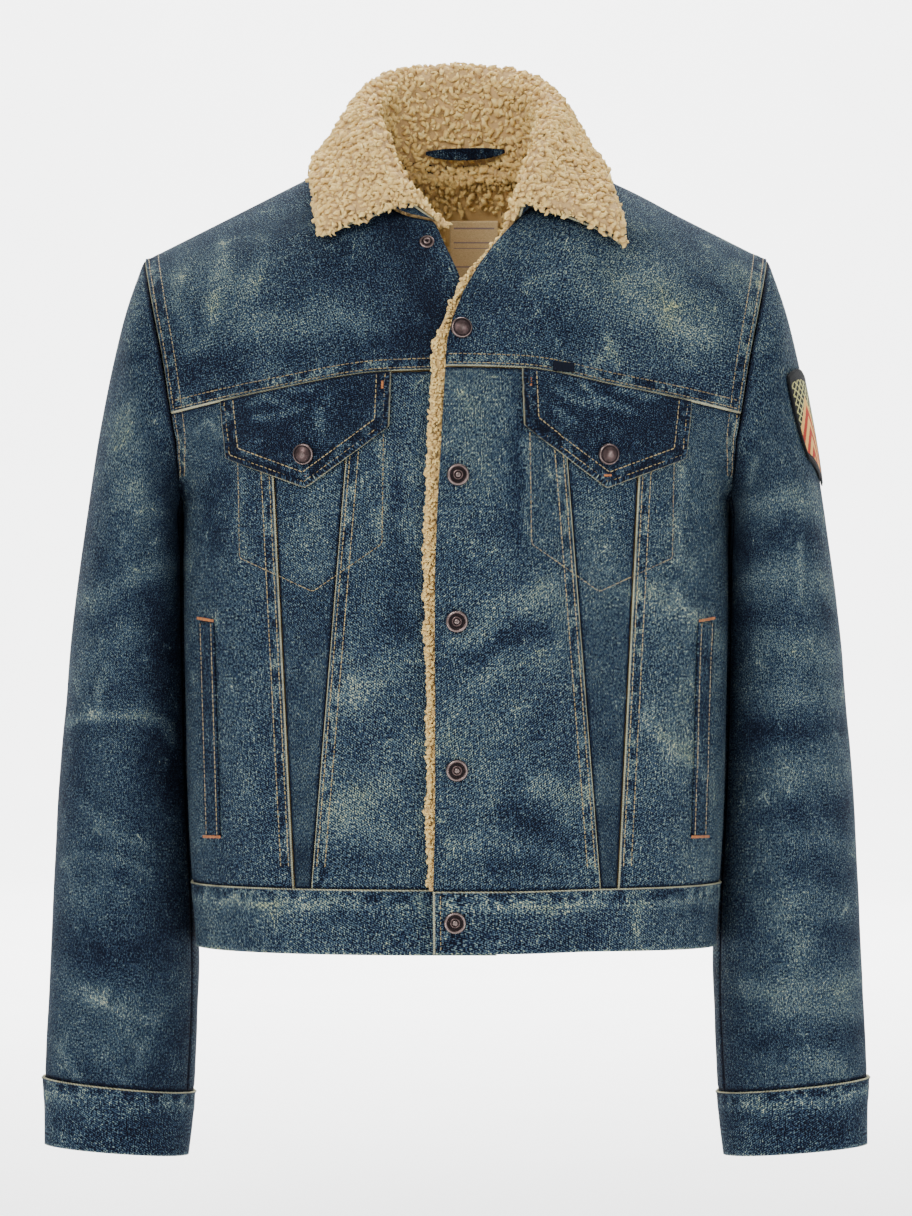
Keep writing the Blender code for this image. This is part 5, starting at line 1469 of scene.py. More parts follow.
# slack folds of an arm hanging slightly bent: shallow slanting waves, deepest inside the elbow
def armSlack(angle, down):
    inElbow = hump(down, 0.52, 0.17)
    lean = down * 34 + 1.1 * np.cos(angle - 0.6) + 0.5 * np.sin(2 * angle)
    wave = np.sin(lean) + 0.5 * np.sin(lean * 1.73 + 0.8 * np.sin(angle + 2))
    low = hump(down, 0.93, 0.07)
    return (0.0008 * inElbow + 0.0006 * low + 0.00022) * wave * (0.55 + 0.45 * np.cos(angle - 2.6))


for side, word in ((1, "left"), (-1, "right")):
    for piece, start, end in (("top", sleeveSeams["back"] - 360, sleeveSeams["front"]),
                              ("under", sleeveSeams["front"], sleeveSeams["back"])):
        low, high = math.radians(start) + sleeveLook["gap"], math.radians(end) - sleeveLook["gap"]

        def surface(u, v):
            return mirroredX(sleevePoint(high + (low - high) * u, 1 - v), side)

        def skin(smoothPlaces, u, v):
            angle, down = high + (low - high) * u, 1 - v
            normals = mirroredX(sleeveNormal(angle, down), side)
            fade, lift = wearAndShadeAt(smoothPlaces, normals)
            groove = distanceTo(mirroredX(smoothPlaces, side), seamRuns)
            slack = armSlack(angle, down) * ease(groove / 0.02)
            # painted shade: the sleeve's side by the body is made darker
            fade = fade + slack * 40 - 0.10 * ease(-np.cos(angle) * 1.2)
            # the upper arm rests on the body below the armhole
            rests = ease(-normals[:, 0] * side * 2 - 0.6) * hump(smoothPlaces[:, 2], -0.300, 0.055)
            moved = lift + slack + grooveDip(groove) * 0.7 + 0.0030 * rests
            fade = sleeveLook["fade"] + 0.03 * side + fade
            return smoothPlaces + normals * moved[:, None], {"fade": fade, "ridge": farOff, "groove": groove * 1000}

        sizes = (sleeveAround[piece], sleeveLength)
        uLines, vLines = [linesFor(size, sleeveLook["cell"], True, True) for size in sizes]
        clothPiece(f"sleeve_{piece}_{word}", surface, skin, uLines, vLines, dict(sleeveLook, turnedOver=side < 0))

    cuffLook = dict(thick=doubleDenim, fade=0.27, cell=0.0034, turnedOver=side < 0, shift=40)

    def cuffPlaces(u, v):
        angle = -2 * math.pi * u
        rings = np.stack([sectionRing(row, angle) for row in cuffSections[::-1]])
        return mirroredX(loft(v, [0, 0.5, 1], rings), side)

    def cuffSkin(smoothPlaces, u, v):
        step = 0.004
        around = cuffPlaces(u + step, v) - cuffPlaces(u - step, v)
        upward = cuffPlaces(u, np.minimum(v + step, 1)) - cuffPlaces(u, np.maximum(v - step, 0))
        normals = unit(np.cross(around, upward) * side)
        fade, lift = wearAndShadeAt(smoothPlaces, normals)
        fromTop, fromLow = (1 - v) * cuffHeight, v * cuffHeight
        high = lift * 0.6 + ropeLift(fromTop, smoothPlaces)
        high = high + 0.0005 * hump(fromTop, 0.014, 0.004) * (0.6 + 0.4 * pucker(smoothPlaces * 0.5))
        fade = fade * 0.6 + 0.14 * hump(fromTop, 0.012, 0.005)
        fade = fade + 0.30 * hump(fromLow, 0, 0.0016)
        return smoothPlaces + normals * high[:, None], {"fade": cuffLook["fade"] + fade, "ridge": fromTop * 1000,
                                                        "groove": farOff}

    weldSeam(clothPiece(f"cuff_{word}", cuffPlaces, cuffSkin, np.linspace(0, 1, 91),
                        linesFor(cuffHeight, cuffLook["cell"], True, True), cuffLook))
print("sleeves made")


# Each lock of pile is a small curled, tapering tube that leaves the cloth and hooks over.
# Its spine rises by sin of its bend and runs along lean by one less cos, so it curls like a comma.
def pilePiece(name, roots, normals, lean, size, tone):
    count = len(roots)
    normals = unit(normals)
    free = dice.standard_normal((count, 3)) * 0.9 + lean
    flatWay = unit(free - normals * (free * normals).sum(1, keepdims=True))
    across = np.cross(normals, flatWay)
    steps = np.linspace(0, 1, 4)
    curl = np.clip(1.9 + 0.7 * dice.standard_normal(count), 0.5, 3.2)
    reach = size * (1 + 0.25 * dice.standard_normal(count).clip(-1.6, 1.6))
    bend = curl[:, None] * steps
    up = np.sin(bend * 0.85) * reach[:, None] * 0.50
    along = (1 - np.cos(bend)) * reach[:, None] * 0.42
    sway = np.sin(steps * 3.1)[None] * (0.22 * dice.standard_normal(count) * reach)[:, None]
    spine = (roots[:, None] + normals[:, None] * up[..., None] + flatWay[:, None] * along[..., None]
             + across[:, None] * sway[..., None])
    girth = np.array([0.90, 1.15, 0.90, 0.24])[None] * (reach * 0.27)[:, None]
    angle = np.arange(4) * math.pi / 2 + 0.6
    ringA = across[:, None, None] * np.cos(angle)[None, None, :, None]
    tilt = (normals[:, None] * np.cos(bend * 0.85)[..., None] + flatWay[:, None] * np.sin(bend)[..., None])
    ringB = unit(np.cross(tilt, across[:, None]))[:, :, None] * np.sin(angle)[None, None, :, None]
    places = (spine[:, :, None] + (ringA + ringB) * girth[..., None, None]).reshape(-1, 3)
    # 0 at the root to 1 at the tip; the material darkens low values as painted shade
    tip = np.tile(np.repeat(np.linspace(0, 1, 4), 4), count)
    shade = np.clip(tone + 0.3 * dice.standard_normal(count), 0, 1)
    piece = meshPiece(name, places, tubeFaces(count, 4, 4), pile, values={"tip": tip, "tone": np.repeat(shade, 16)})
    print(name, count, "locks")
    return piece


# soft lumps of matted pile under the locks: rounded cells, in metres
def matted(places):
    x, y, z = places.T * 1000
    a = np.sin(x * 0.9 + 1.3 * np.sin(z * 0.55)) * np.sin(z * 0.83 + 1.1 * np.sin(y * 0.6 + x * 0.3))
    b = np.sin(y * 0.95 + 1.2 * np.sin(x * 0.5)) * np.sin(x * 0.4 + z * 0.5)
    return 0.0008 * (a + b)


liningLook = dict(slot="sherpa", material=pile, thick=liningThick * 0.6, cell=0.0072)
liningSeam = math.pi / 2 + liningGap
liningRidge = ridgeRise - 0.0035
liningOut = -(liningDepth + liningThick * 0.2)


# the lining's arm line: the armhole's turn less an inset, never past the side seam
def liningArm(back):
    def line(at):
        rise = lowZ - chestZ + (liningRidge - lowZ + chestZ) * np.asarray(at, float)
        turn = np.minimum(armholeTurn(np.maximum(rise, pit)) - liningInset, math.pi - liningSeam)
        return np.stack([math.pi - turn if back else turn, rise], axis=-1)

    return line


# a lining panel hangs inside the body by a steady depth, under a skin of matted lumps
def liningPiece(node, patch, side, lifted):
    def surface(u, v):
        spots = patch(u, v)
        return bodyAt(side * spots[:, 0], spots[:, 1], liningOut, lifted)

    def skin(smoothPlaces, u, v):
        spots = patch(u, v)
        normals = bodyNormal(side * spots[:, 0], spots[:, 1])
        return smoothPlaces + normals * matted(smoothPlaces)[:, None], {"tip": 0.30, "tone": 0.6}

    clothPiece(node, surface, skin, linesFor(0.44 if node == "lining_back" else 0.24, liningLook["cell"]),
               linesFor(0.62, liningLook["cell"]), dict(liningLook, turnedOver=side < 0))


# places on the body over a patch of (u, v), scattered evenly with a wobble
def scatter(patch, uRange, vRange, counts, side, lifted, out):
    u, v = pairs(np.linspace(*uRange, counts[0]), np.linspace(*vRange, counts[1]))
    u = np.clip(u + (uRange[1] - uRange[0]) / counts[0] * dice.uniform(-0.45, 0.45, len(u)), 0, 1)
    v = np.clip(v + (vRange[1] - vRange[0]) / counts[1] * dice.uniform(-0.45, 0.45, len(v)), 0, 1)
    spots = patch(u, v)
    normals = bodyNormal(side * spots[:, 0], spots[:, 1])
    return bodyAt(side * spots[:, 0], spots[:, 1], out, lifted), normals


backFloorLine = straight((liningSeam, lowRise), (2 * math.pi - liningSeam, lowRise))
liningTop = shoulderLine(liningArm(True), 0.30, 0.70, liningRidge)
backLining = coons(backFloorLine, liningTop, liningArm(True), mirrored(liningArm(True)))
liningPiece("lining_back", backLining, 1, False)
insideOut = -(liningDepth + liningThick * 0.75)
roots, normals = scatter(backLining, (0.24, 0.76), (0.80, 1.0), (58, 26), 1, False, insideOut)
clear = ~((roots[:, 0] > label["left"] - 0.002) & (roots[:, 0] < label["right"] + 0.002)
          & (roots[:, 2] > label["bottom"] - 0.002) & (roots[:, 2] < label["top"] + 0.001))
# painted light: the locks inside the back neck get a light tone of 0.95
pilePiece("lining_pile_back", roots[clear], -normals[clear], np.array([0, 0, -0.9]), 0.0062, 0.95)

for half in frontSides:
    side, word, edge, neck, lifted = half["side"], half["label"], half["edge"], half["neck"], half["lifted"]
    zs = np.linspace(lowZ, neck[0]["z"], 12)
    rimShare = 0.62 if side > 0 else -0.5
    reach = rimShare * readAt(edge, "z", "rim", zs)
    rows = list(zip(side * (readAt(edge, "z", "x", zs) - side * reach), zs))
    curve = [(side * row["x"] + 0.003, row["z"] - half["neckDrop"]) for row in neck[1:]]
    inner = joined(track(rows), track([rows[-1]] + curve), 0.78)
    left = underRidge(inner, liningRidge)
    bottom = straight(inner(np.array([0.0]))[0], liningArm(False)(np.array([0.0]))[0])
    top = straight((float(onBody(neckHalf, -0.001)[0]), liningRidge), liningArm(False)(np.array([1.0]))[0])
    patch = coons(bottom, top, left, liningArm(False))
    liningPiece(f"lining_front_{word}", patch, side, lifted)
    # the rim: locks on the face that shows past the denim, round the edge, and just inside
    at = np.linspace(0.004, 0.775 if side > 0 else 0.70, 210 if side > 0 else 150)
    line = left(at)
    faceNormals = bodyNormal(side * line[:, 0], line[:, 1])
    edgeAt = bodyAt(side * line[:, 0], line[:, 1], -(liningDepth + liningThick / 2), lifted)
    along = np.gradient(edgeAt, axis=0)
    outward = unit(np.cross(faceNormals, along) * side)
    outward = outward * np.where((outward * np.array([-side, 0, 0])).sum(1) > 0, 1, -1)[:, None]
    # below 0: mm back from the edge on the face; from 0: degrees round the edge
    turns = (-9.6, -7.6, -5.4, -2.8, 20, 55, 90, 125) if side > 0 else (-3, 40, 90)
    found = []
    for turn in turns:
        wobble = dice.uniform(-0.4, 0.4, (len(at), 1)) * runLength(edgeAt) / len(at)
        step = unit(along) * wobble
        if turn < 0:
            back = turn / 1000 + dice.uniform(-0.001, 0.001, (len(at), 1))
            way = faceNormals + 0.25 * outward
            place = edgeAt + outward * back + faceNormals * liningThick * 0.30
        else:
            a = math.radians(turn)
            way = faceNormals * math.cos(a) + outward * math.sin(a)
            wavy = 0.0009 * np.sin(at * 95 + np.sin(at * 37) * 2)[:, None]
            place = edgeAt + way * liningThick * 0.30 + outward * (wavy - 0.0030)
        found.append((place + step, way))
    roots, ways = [np.concatenate(part) for part in zip(*found)]
    roots, ways = roots[roots[:, 2] > waistSeamZ + 0.003], ways[roots[:, 2] > waistSeamZ + 0.003]
    lean = np.array([-side * 0.5, 0, -0.7])
    pilePiece(f"lining_pile_rim_{word}", roots, ways, lean, 0.0038 if side > 0 else 0.0030, 0.7)
    # the inside of the neck
    roots, normals = scatter(patch, (0.0, 0.4), (0.76, 1.0), (20, 24), side, lifted, insideOut)
    pilePiece(f"lining_pile_neck_{word}", roots, -normals, np.array([0, 0, -0.9]), 0.0060, 0.8)
print("lining made")


# the collar's slow surface is worked out on a coarse grid and read between its points
coarseS, coarseW = 97, 45
gridS, gridW = pairs(np.linspace(-1, 1, coarseS), np.linspace(0, 1, coarseW))
collarGrid = np.concatenate([collarPoint(gridS[k:k + 600], gridW[k:k + 600]) for k in range(0, len(gridS), 600)])
collarGrid = collarGrid.reshape(coarseS, coarseW, 3)
alongS, alongW = np.gradient(collarGrid, axis=0), np.gradient(collarGrid, axis=1)
collarWays = unit(np.cross(alongS, alongW))


# places (or normals) of the collar read between the coarse grid's points
def collarAt(s, w, grid=collarGrid):
    a = np.clip((s + 1) / 2 * (coarseS - 1), 0, coarseS - 1.001)
    b = np.clip(w * (coarseW - 1), 0, coarseW - 1.001)
    i, j = a.astype(int), b.astype(int)
    p, q = (a - i)[:, None], (b - j)[:, None]
    return ((grid[i, j] * (1 - p) + grid[i + 1, j] * p) * (1 - q)
            + (grid[i, j + 1] * (1 - p) + grid[i + 1, j + 1] * p) * q)


# places lifted off the collar along its normals
def collarOff(s, w, out):
    return collarAt(s, w) + collarAt(s, w, collarWays) * out


collarWidth = runLength(collarGrid[:, 30])
collarDepth = runLength(collarGrid[48])


# metres in from the nearer of the collar's two ends
def inFromEnds(s):
    return np.minimum(1 - s, 1 + s) / 2 * collarWidth


# how rounded the pile is near the collar's edges: 0 at the edge itself, 1 well inside
def collarRound(s, w):
    near = np.clip(np.minimum(inFromEnds(s), (1 - w) * collarDepth) / 0.0085, 0, 1)
    return np.sqrt(1 - (1 - near) ** 2)


# the collar's pile face: its surface moved out along the normal
def collarTop(u, v):
    s = 2 * u - 1
    return collarOff(s, v, 0.0035)


# the pile face rounds down at the edges and is lumpy all over
def collarTopSkin(smoothPlaces, u, v):
    s = 2 * u - 1
    high = 0.0032 + (collarPile - 0.0056) * collarRound(s, v)
    places = collarOff(s, v, (high + matted(smoothPlaces))[:, None])
    # the face under the locks gets a low tip and tone: painted shade between the locks
    return places, {"tip": 0.10, "tone": 0.35}


# the collar's denim face, just under its surface
def collarLow(u, v):
    s = 2 * u - 1
    return collarOff(s, v, -0.0003)


# the denim face is smooth, with puckered wear beside its edge
def collarLowSkin(smoothPlaces, u, v):
    s = 2 * u - 1
    edge = np.minimum(inFromEnds(s), (1 - v) * collarDepth)
    return smoothPlaces, {"fade": 0.36 + 0.1 * pucker(smoothPlaces) * np.exp(-edge / 0.01),
                          "ridge": edge * 1000, "groove": farOff}


# a unit direction on the collar at s, w: along grid steps a, or across the collar's width
def collarWay(s, w, steps):
    return unit(collarAt(s, w, steps))


# (roots, normals, lean, tone, size) of a field of locks over the collar between two values of s
def collarLocks(start, end, columns, rows):
    s, w = pairs(np.linspace(start, end, columns), np.linspace(0.02, 1, rows))
    s = np.clip(s + dice.uniform(-0.5, 0.5, len(s)) * (end - start) / columns, -1, 1)
    w = np.clip(w + dice.uniform(-0.5, 0.5, len(w)) / rows, 0, 1)
    ways, overW, overS = collarWay(s, w, collarWays), collarWay(s, w, alongW), collarWay(s, w, alongS)
    roots = collarAt(s, w) + ways * (0.0020 + (collarPile - 0.0058) * collarRound(s, w))[:, None]
    # near the edges the locks turn outwards
    nearW, nearS = ease((w - 0.93) / 0.07)[:, None], ease((np.abs(s) - 0.965) / 0.035)[:, None]
    normals = ways + 1.6 * nearW * overW + 1.6 * nearS * overS * np.sign(s)[:, None]
    # painted light: locks nearer the neck seam get a lighter tone, brightening the inside of the stand
    inner = ease((rollAt - w) / 0.3)
    found = [(roots, normals, overW * 0.6 + np.array([0, 0, -0.5]), 0.60 + 0.36 * inner, 0.0056 + 0.0006 * inner)]
    # two rows hang over the outer edge, and six cover the neck seam
    s = np.linspace(start, end, int(columns * 1.35))
    for w, k, high, out in ((1, -0.0004, 0.0030, 1.3), (1, 0.0006, 0.0014, 1.6), (0, 0.0, 0.0042, -0.2),
                            (0, 0.0020, 0.0046, -0.2), (0, 0.0040, 0.0046, -0.3), (0, 0.0060, 0.0044, -0.3),
                            (0, 0.0084, 0.0040, -0.3), (0, 0.0108, 0.0034, -0.3)):
        w = np.full(len(s), float(w))
        ways, overW = collarWay(s, w, collarWays), collarWay(s, w, alongW)
        sign = 1 if out > 0 else -1
        wobble = dice.uniform(-0.0012, 0.0012, (len(s), 1)) * collarWay(s, w, alongS)
        roots = collarAt(s, w) + overW * k * sign + ways * high + wobble
        found.append((roots, ways + out * overW, np.tile([0, 0, -0.6], (len(s), 1)), np.full(len(s), 0.7),
                      np.full(len(s), 0.0044 if out > 0 else 0.0062)))
    w = np.linspace(0.06, 1, 40)
    s = np.full(40, start if abs(start) > abs(end) else end)
    ways, overS = collarWay(s, w, collarWays), collarWay(s, w, alongS) * np.sign(s)[:, None]
    for high, out in ((0.0030, 1.3), (0.0014, 1.6)):
        found.append((collarAt(s, w) + ways * high, ways + out * overS, np.tile([0, 0, -0.6], (40, 1)),
                      np.full(40, 0.6), np.full(40, 0.0044)))
    return [np.concatenate(part) for part in zip(*found)]


lockColumns, lockRows = 74, 42
locks = []
for word, start, end in (("right", -1, 0), ("left", 0, 1)):
    roots, normals, lean, tone, size = collarLocks(start, end, lockColumns, lockRows)
    locks.append(pilePiece(f"collar_pile_{word}", roots, normals, lean, size, tone))
collarLook = dict(slot="sherpa", material=pile, thick=0.0030, held="folded", withPieces=locks)
clothPiece("collar_upper", collarTop, collarTopSkin, np.linspace(0, 1, 110), np.linspace(0.004, 1, 42), collarLook)
clothPiece("collar_under", collarLow, collarLowSkin, linesFor(collarWidth, 0.0060, True, True),
           linesFor(collarDepth, 0.0060, False, True), dict(thick=denimThick, held="folded", shift=90))
s = np.linspace(-0.985, 0.985, 160)
w = np.full(160, 0.965)
addRow(collarOff(s, w, -0.0020), -collarAt(s, w, collarWays), 0.7)
print("collar made")


flapOut = 0.0011  # metres that a flap's under face lies off the front

for side, word in ((1, "left"), (-1, "right")):
    lifted = side > 0
    innerTop, outerTop = flap["inner"][0], flap["outer"][0]
    corners = [(innerTop, float(yokeZ(innerTop))), flap["inner"][1], flap["point"], flap["outer"][1],
               (outerTop, float(yokeZ(outerTop)))]

    def flapEdge(start, end):
        return track(list(zip(np.linspace(start[0], end[0], 9), np.linspace(start[1], end[1], 9))))

    edges = [flapEdge(a, b) for a, b in zip(corners[:-1], corners[1:])]
    seam = levelLine(yokeZ, np.linspace(innerTop, outerTop, 12))
    flapLook = dict(side=side, lifted=lifted, fade=0.17, dull=0.45, thick=doubleDenim, out=flapOut, offset=1,
                    ridges=edges, grooves=[seam], fine=(1, 1, 1, 1), held="laid", cell=0.0022,
                    restsOn=[f"front_center_{word}_cloth"])
    bodyPiece(f"pocket_flap_{word}", flapPatch(), flapLook)
    rowLook = dict(flapLook, out=flapLook["out"] + doubleDenim)
    for far, tone in ((0.0024, 0.72), (0.0088, 0.62)):
        inset = []
        for k, corner in enumerate(corners):
            before = np.subtract(corner, corners[k - 1]) if k else np.subtract(corners[1], corner)
            after = np.subtract(corners[k + 1], corner) if k < 4 else before
            turnIn = [np.array([-way[1], way[0]]) / np.linalg.norm(way) for way in (before, after)]
            shift = turnIn[0] + turnIn[1]
            shift = shift / max(shift @ shift / 2, 0.2)
            inset.append(np.array(corner) + shift * far)
        inset[0][1] = float(yokeZ(inset[0][0])) - 0.002
        inset[-1][1] = float(yokeZ(inset[-1][0])) - 0.002
        for a, b in zip(inset[:-1], inset[1:]):
            bodyRow(flapEdge(a, b), rowLook, tone)

    innerRun, outerRun = track(welt["inner"][::-1]), track(welt["outer"][::-1])
    weltPatch = coons(track([welt["inner"][1], welt["outer"][1]]), track([welt["inner"][0], welt["outer"][0]]),
                      innerRun, outerRun)
    weltLook = dict(side=side, lifted=lifted, fade=0.24, out=layerGap + 0.0002, offset=1,
                    fine=(1, 1, 0, 0), cell=0.0026, held="laid", restsOn=[f"front_side_{word}_cloth"])
    bodyPiece(f"pocket_welt_{word}", weltPatch, weltLook)
    for share, tone in ((0.14, 0.6), (0.86, 0.55)):
        bodyRow(lambda at, share=share: weltPatch(np.full(len(at), share), np.asarray(at)),
                dict(weltLook, out=weltLook["out"] + denimThick), tone)

tackRuns = []


# a bar tack: close stitches laid side by side across a short bar
def addTack(start, end, side, lifted, out, wide=0.0022):
    length = math.dist(start, end)
    at = np.linspace(0, 1, max(int(length / 0.00055), 4))
    spots = track([start, end])(at)
    look = dict(side=side, lifted=lifted, out=out)
    base, normals, high, _ = bodySkin(spots, look)
    places = base + normals * (high + 0.0003)[:, None]
    way = np.gradient(places, axis=0)
    across = unit(np.cross(normals, way))
    tackRuns.append((places, across, normals, np.full(len(at), 0.5), np.full(len(at), wide / 0.0026)))


for side in (1, -1):
    lifted, out = side > 0, layerGap + denimThick + 0.0002
    for x1, x2, z in ((0.1785, 0.1910, -0.3545), (0.1735, 0.1868, -0.5150)):
        addTack((x1, z), (x2, z + (0.002 if z > -0.4 else -0.0005)), side, lifted, out)
    out = flapOut + doubleDenim
    addTack((0.0535, -0.1800), (0.0537, -0.1850), side, lifted, out, 0.0018)
    addTack((0.1075, -0.2475), (0.1125, -0.2475), side, lifted, out, 0.0018)


# A patch with straight edges on the body, given by its four limits.
def squarePatch(row, back=False):
    (left, right), (low, high) = (row["left"], row["right"]), (row["bottom"], row["top"])
    return coons(track([(left, low), (right, low)], back), track([(left, high), (right, high)], back),
                 track([(left, low), (left, high)], back), track([(right, low), (right, high)], back))


bodyPiece("seam_tab", squarePatch(tab),
          dict(lifted=True, out=layerGap + 0.0010, offset=1, thick=0.0010, cell=0.0009, material=tabWeave,
               slot="tab_cloth", held="laid", restsOn=["front_yoke_left_cloth"]))
bodyPiece("neck_label", squarePatch(label, True),
          dict(out=-(liningDepth + liningThick + 0.0022), thick=0.0010, cell=0.0016, material=labelWeave,
               slot="label_cloth", held="laid", restsOn=["lining_back_cloth"]))


# the badge follows the sleeve, slanting down and narrowing to its point as the cube of 1 - v
def badgeAt(u, v):
    down = patchRow["bottom"] + (patchRow["top"] - patchRow["bottom"]) * v + patchRow["slant"] * u
    narrow = 1 - patchRow["point"] * (1 - v) ** 3
    middle = (patchRow["front"] + patchRow["back"]) / 2
    angle = np.radians(middle + (patchRow["back"] - patchRow["front"]) * (u - 0.5) * narrow)
    normals = sleeveNormal(angle, down)
    return sleevePoint(angle, down) + normals * layerGap, normals


# the badge's border stands up as a hump all round
def badgeSkin(smoothPlaces, u, v):
    places, normals = badgeAt(u, v)
    _, lift = wearAndShadeAt(smoothPlaces, normals)
    edge = np.minimum(np.minimum(u, 1 - u) * 0.05, np.minimum(v, 1 - v) * 0.055)
    welted = 0.0007 * hump(edge, 0.0016, 0.0011)
    return places + normals * (lift + welted + 0.0002)[:, None], {}


clothPiece("sleeve_patch", lambda u, v: badgeAt(u, v)[0], badgeSkin, np.linspace(0, 1, 40), np.linspace(0, 1, 40),
           dict(thick=0.0012, offset=1, material=badgeStitch, slot="patch_cloth", held="laid",
                restsOn=["sleeve_top_left_cloth"]))


# the loop's tape bows off the collar as a sine and narrows at both ends
def loopAt(u, v):
    s = loopRow["start"] + (loopRow["end"] - loopRow["start"]) * u
    narrow = 1 - 0.72 * np.abs(2 * u - 1) ** 3
    w = (loopRow["low"] + loopRow["high"]) / 2 + (loopRow["high"] - loopRow["low"]) * (v - 0.5) * narrow
    bow = loopRow["bow"] * np.sin(math.pi * np.clip(u, 0, 1)) ** 0.7
    return collarOff(s, w, (collarPile + 0.0016 + bow)[:, None])


# the loop has no relief of its own
def loopSkin(smoothPlaces, u, v):
    edge = np.minimum(v, 1 - v) * 8
    return smoothPlaces, {"fade": 0.14, "ridge": edge + 3.0, "groove": farOff}


clothPiece("hanger_loop", loopAt, loopSkin, np.linspace(0, 1, 48), np.linspace(0, 1, 9),
           dict(thick=0.0018, offset=1, held="hung", restsOn=["collar_upper_cloth"], shift=200))
print("trims made")


# turned snap caps, as (radius, height, dirt) rows from the middle outwards in mm
ringed = [
    (0, 3.5, 0.15), (1.0, 3.5, 0.1), (1.9, 3.3, 0.1), (2.2, 2.7, 0.9), (2.7, 2.5, 1.0), (3.0, 2.9, 0.4),
    (3.7, 3.0, 0.25), (4.1, 2.6, 0.8), (4.5, 2.45, 1.0), (5.6, 2.5, 0.75), (6.4, 2.6, 0.9), (6.8, 3.0, 0.35),
    (7.6, 3.25, 0.0), (8.3, 2.9, 0.0), (8.8, 2.1, 0.1), (9.0, 1.2, 0.4), (8.7, 0.3, 0.9), (8.3, 0.0, 1.0),
    (4.0, 0.0, 1.0), (0, 0.0, 1.0),
]
domed = [
    (0, 4.3, 0.1), (1.5, 4.2, 0.2), (3.0, 3.95, 0.35), (4.2, 3.6, 0.5), (5.4, 3.1, 0.55), (6.6, 2.75, 0.8),
    (7.0, 2.7, 0.95), (7.5, 2.8, 0.3), (8.1, 2.5, 0.0), (8.6, 1.7, 0.1), (8.75, 0.9, 0.4), (8.4, 0.1, 0.9),
    (8.0, 0.0, 1.0), (4.0, 0.0, 1.0), (0, 0.0, 1.0),
]
socket = [
    (0, 1.1, 0.9), (1.0, 1.1, 0.8), (1.5, 1.4, 0.5), (1.9, 2.2, 0.1), (2.5, 2.3, 0.0), (3.0, 1.7, 0.4),
    (3.3, 0.9, 0.9), (4.2, 0.7, 0.6), (5.2, 0.9, 0.1), (5.8, 0.7, 0.1), (6.1, 0.3, 0.5), (6.0, 0.0, 1.0),
    (3.0, 0.0, 1.0), (0, 0.0, 1.0),
]


# the cap's rings about the normal; radius 0 rows close it at both poles
def snapPiece(node, rows, place, normal, tilt=(0, 0)):
    steps = 40
    side = np.cross([0, 0, 1.0], normal)
    side = side / np.linalg.norm(side)
    normal = normal + side * tilt[0] + np.cross(normal, side) * tilt[1]
    normal = normal / np.linalg.norm(normal)
    side = np.cross([0, 0, 1.0], normal)
    side = side / np.linalg.norm(side)
    up = np.cross(normal, side)
    angle = np.arange(steps) * 2 * math.pi / steps
    rings = np.array([row for row in rows if row[0] > 0]) / np.array([1100, 1000, 1])
    circle = side * np.cos(angle)[:, None] + up * np.sin(angle)[:, None]
    places = (place + rings[:, 0, None, None] * circle[None] + rings[:, 1, None, None] * normal).reshape(-1, 3)
    poles = np.array([place + normal * rows[0][1] / 1000, place])
    places = np.concatenate([places, poles])
    count = len(rings)
    ring, turn = pairs(np.arange(count - 1), np.arange(steps))
    a, b = ring * steps + turn, ring * steps + (turn + 1) % steps
    faces = np.stack([a, a + steps, b + steps, b], axis=-1)
    turn = np.arange(steps)
    last = (count - 1) * steps
    topFan = np.stack([np.full(steps, count * steps), turn, (turn + 1) % steps], axis=-1)
    lowFan = np.stack([np.full(steps, count * steps + 1), last + (turn + 1) % steps, last + turn], axis=-1)
    dirt = np.concatenate([np.repeat(rings[:, 2], steps), [rows[0][2], rows[-1][2]]])
    mesh = bpy.data.meshes.new(node + "_cap")
    mesh.from_pydata(places.tolist(), [], faces.tolist() + topFan.tolist() + lowFan.tolist())
    mesh.attributes.new("dirt", "FLOAT", "POINT").data.foreach_set("value", dirt.astype(np.float32))
    mesh.shade_smooth()
    mesh.materials.append(copper)
    piece = putInScene(node + "_cap", mesh)
    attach(piece, "root")
    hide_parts(node)


# (place, normal) of a snap's seat on the body
def snapSeat(x, z, lifted, out):
    turn, rise = spotOf(x, z)
    base, normals, high, _ = bodySkin(np.array([[turn, rise]]), dict(lifted=lifted, out=out))
    return base[0] + normals[0] * high[0], normals[0]


for row, tilt in zip(frontSnaps, ((0.18, -0.10), (0.03, 0.02), (-0.04, 0.03), (0.02, -0.03), (0.03, 0.04))):
    place, normal = snapSeat(row["x"], row["z"], True, layerGap + row["out"])
    snapPiece(row["name"], domed if row["plain"] else ringed, place, normal, tilt)
for side, word in ((1, "left"), (-1, "right")):
    place, normal = snapSeat(side * flapSnap["x"], flapSnap["z"], side > 0, doubleDenim + 0.0017)
    snapPiece(f"snap_flap_{word}", domed, place, normal, (0.05 * side, -0.04))
place, normal = snapSeat(stud["x"], stud["z"], False, 0.0)
snapPiece("snap_stud", socket, place, normal)
stitchPiece("topstitching", stitchRuns, thread)
stitchPiece("bar_tacks", tackRuns, tackThread)
print("snaps and stitches made")


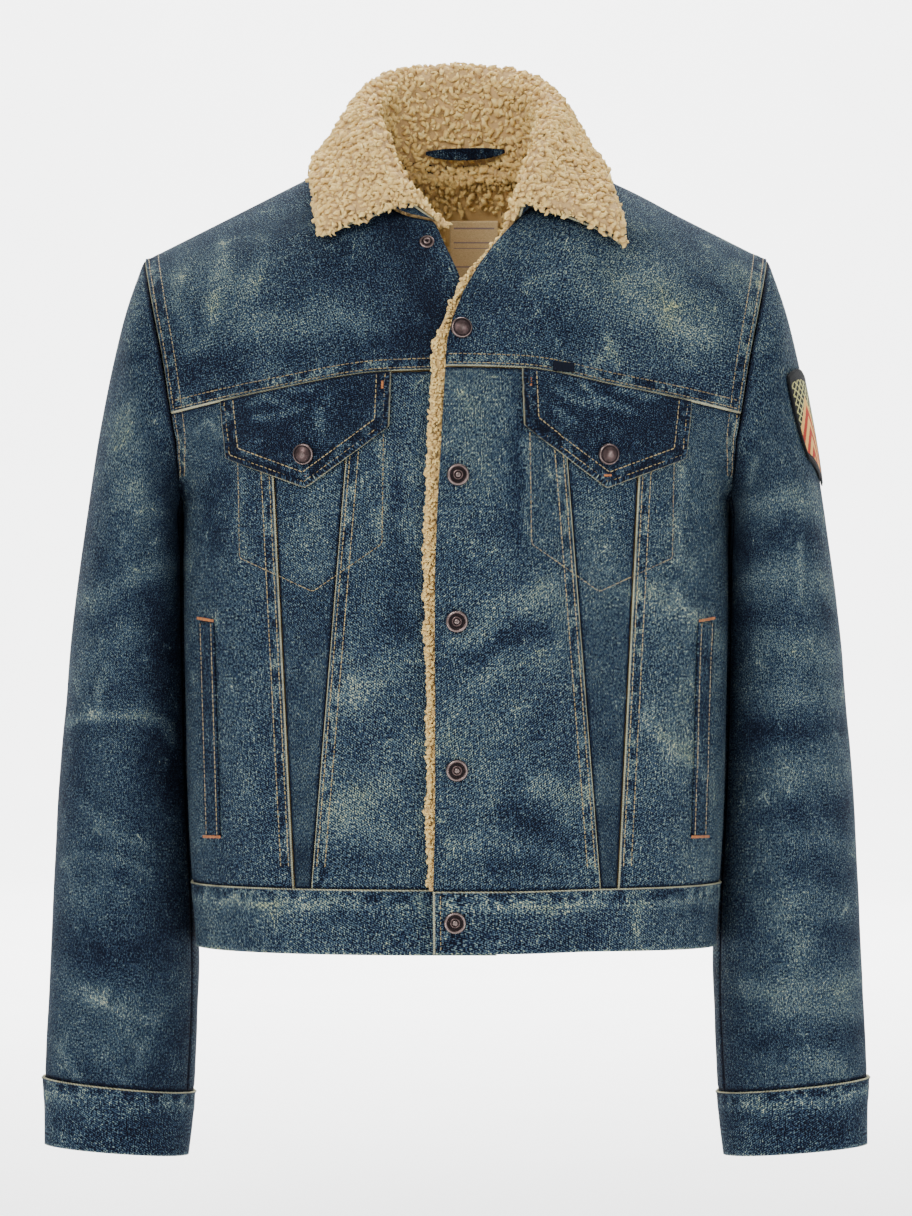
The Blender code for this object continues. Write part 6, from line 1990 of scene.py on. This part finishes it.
# a floor that sweeps up into the wall behind, as one curved sheet
bend = np.linspace(0, math.pi / 2, 14)
sweep = [(-9.0, 0)] + [(5.0 + 2.0 * math.sin(a), 2.0 - 2.0 * math.cos(a)) for a in bend] + [(7.0, 6.0)]
acrossRoom = np.linspace(-9, 9, 5)
roomPlaces = np.array([(x, y, z - 0.86) for x in acrossRoom for y, z in sweep])
mesh = bpy.data.meshes.new("studio_sweep")
mesh.from_pydata(roomPlaces.tolist(), [], gridFaces(5, len(sweep)).tolist())
mesh.shade_smooth()
made, _, place = newMaterial("studio_paper")
tint = ramp(noise(place, 0.004, 2), [(0.3, paint(247, 247, 247)), (0.7, paint(250, 250, 250))])
mesh.materials.append(surfaced(made, tint, rough=0.9))
putInScene("studio_sweep", mesh)

world = bpy.data.worlds.new("studio")
bpy.context.scene.world = world
world.use_nodes = True
world.node_tree.nodes["Background"].inputs["Color"].default_value = (0.94, 0.97, 1.0, 1)
world.node_tree.nodes["Background"].inputs["Strength"].default_value = 0.62


# a soft oblong lamp at a place, turned to its aim
def softLight(name, place, aim, size, watts, colour=(1, 1, 1)):
    lamp = bpy.data.lights.new(name, "AREA")
    lamp.shape, lamp.size, lamp.size_y = "RECTANGLE", size[0], size[1]
    lamp.energy, lamp.color = watts, colour
    made = putInScene(name, lamp)
    way = np.subtract(aim, place)
    flat = math.hypot(way[0], way[1])
    made.location = place
    made.rotation_euler = (math.pi / 2 + math.atan2(way[2], flat), 0, math.atan2(-way[0], way[1]))
    made.visible_camera = False


softLight("key", (-1.3, -2.4, 1.3), (0, 0, -0.35), (1.5, 1.5), 84, (1.0, 0.98, 0.95))
softLight("fill", (1.9, -2.2, 0.2), (0, 0, -0.4), (1.6, 2.0), 30, (0.97, 0.99, 1.0))
softLight("top", (0.2, 0.3, 1.9), (0, 0, -0.3), (1.6, 1.2), 30)
softLight("wall", (0, 2.4, 3.6), (0, 5.6, -0.6), (5.0, 1.5), 1500)

lens = bpy.data.cameras.new("camera")
lens.sensor_fit, lens.sensor_height, lens.sensor_width = "VERTICAL", 36, 36
lens.lens = 36 * 3.3 / 0.924
camera = putInScene("camera", lens)
camera.location = (0, -3.3, -0.345)
camera.rotation_euler = (math.pi / 2, 0, 0)
bpy.context.scene.camera = camera

for row in cutList:
    print("cut", *row)
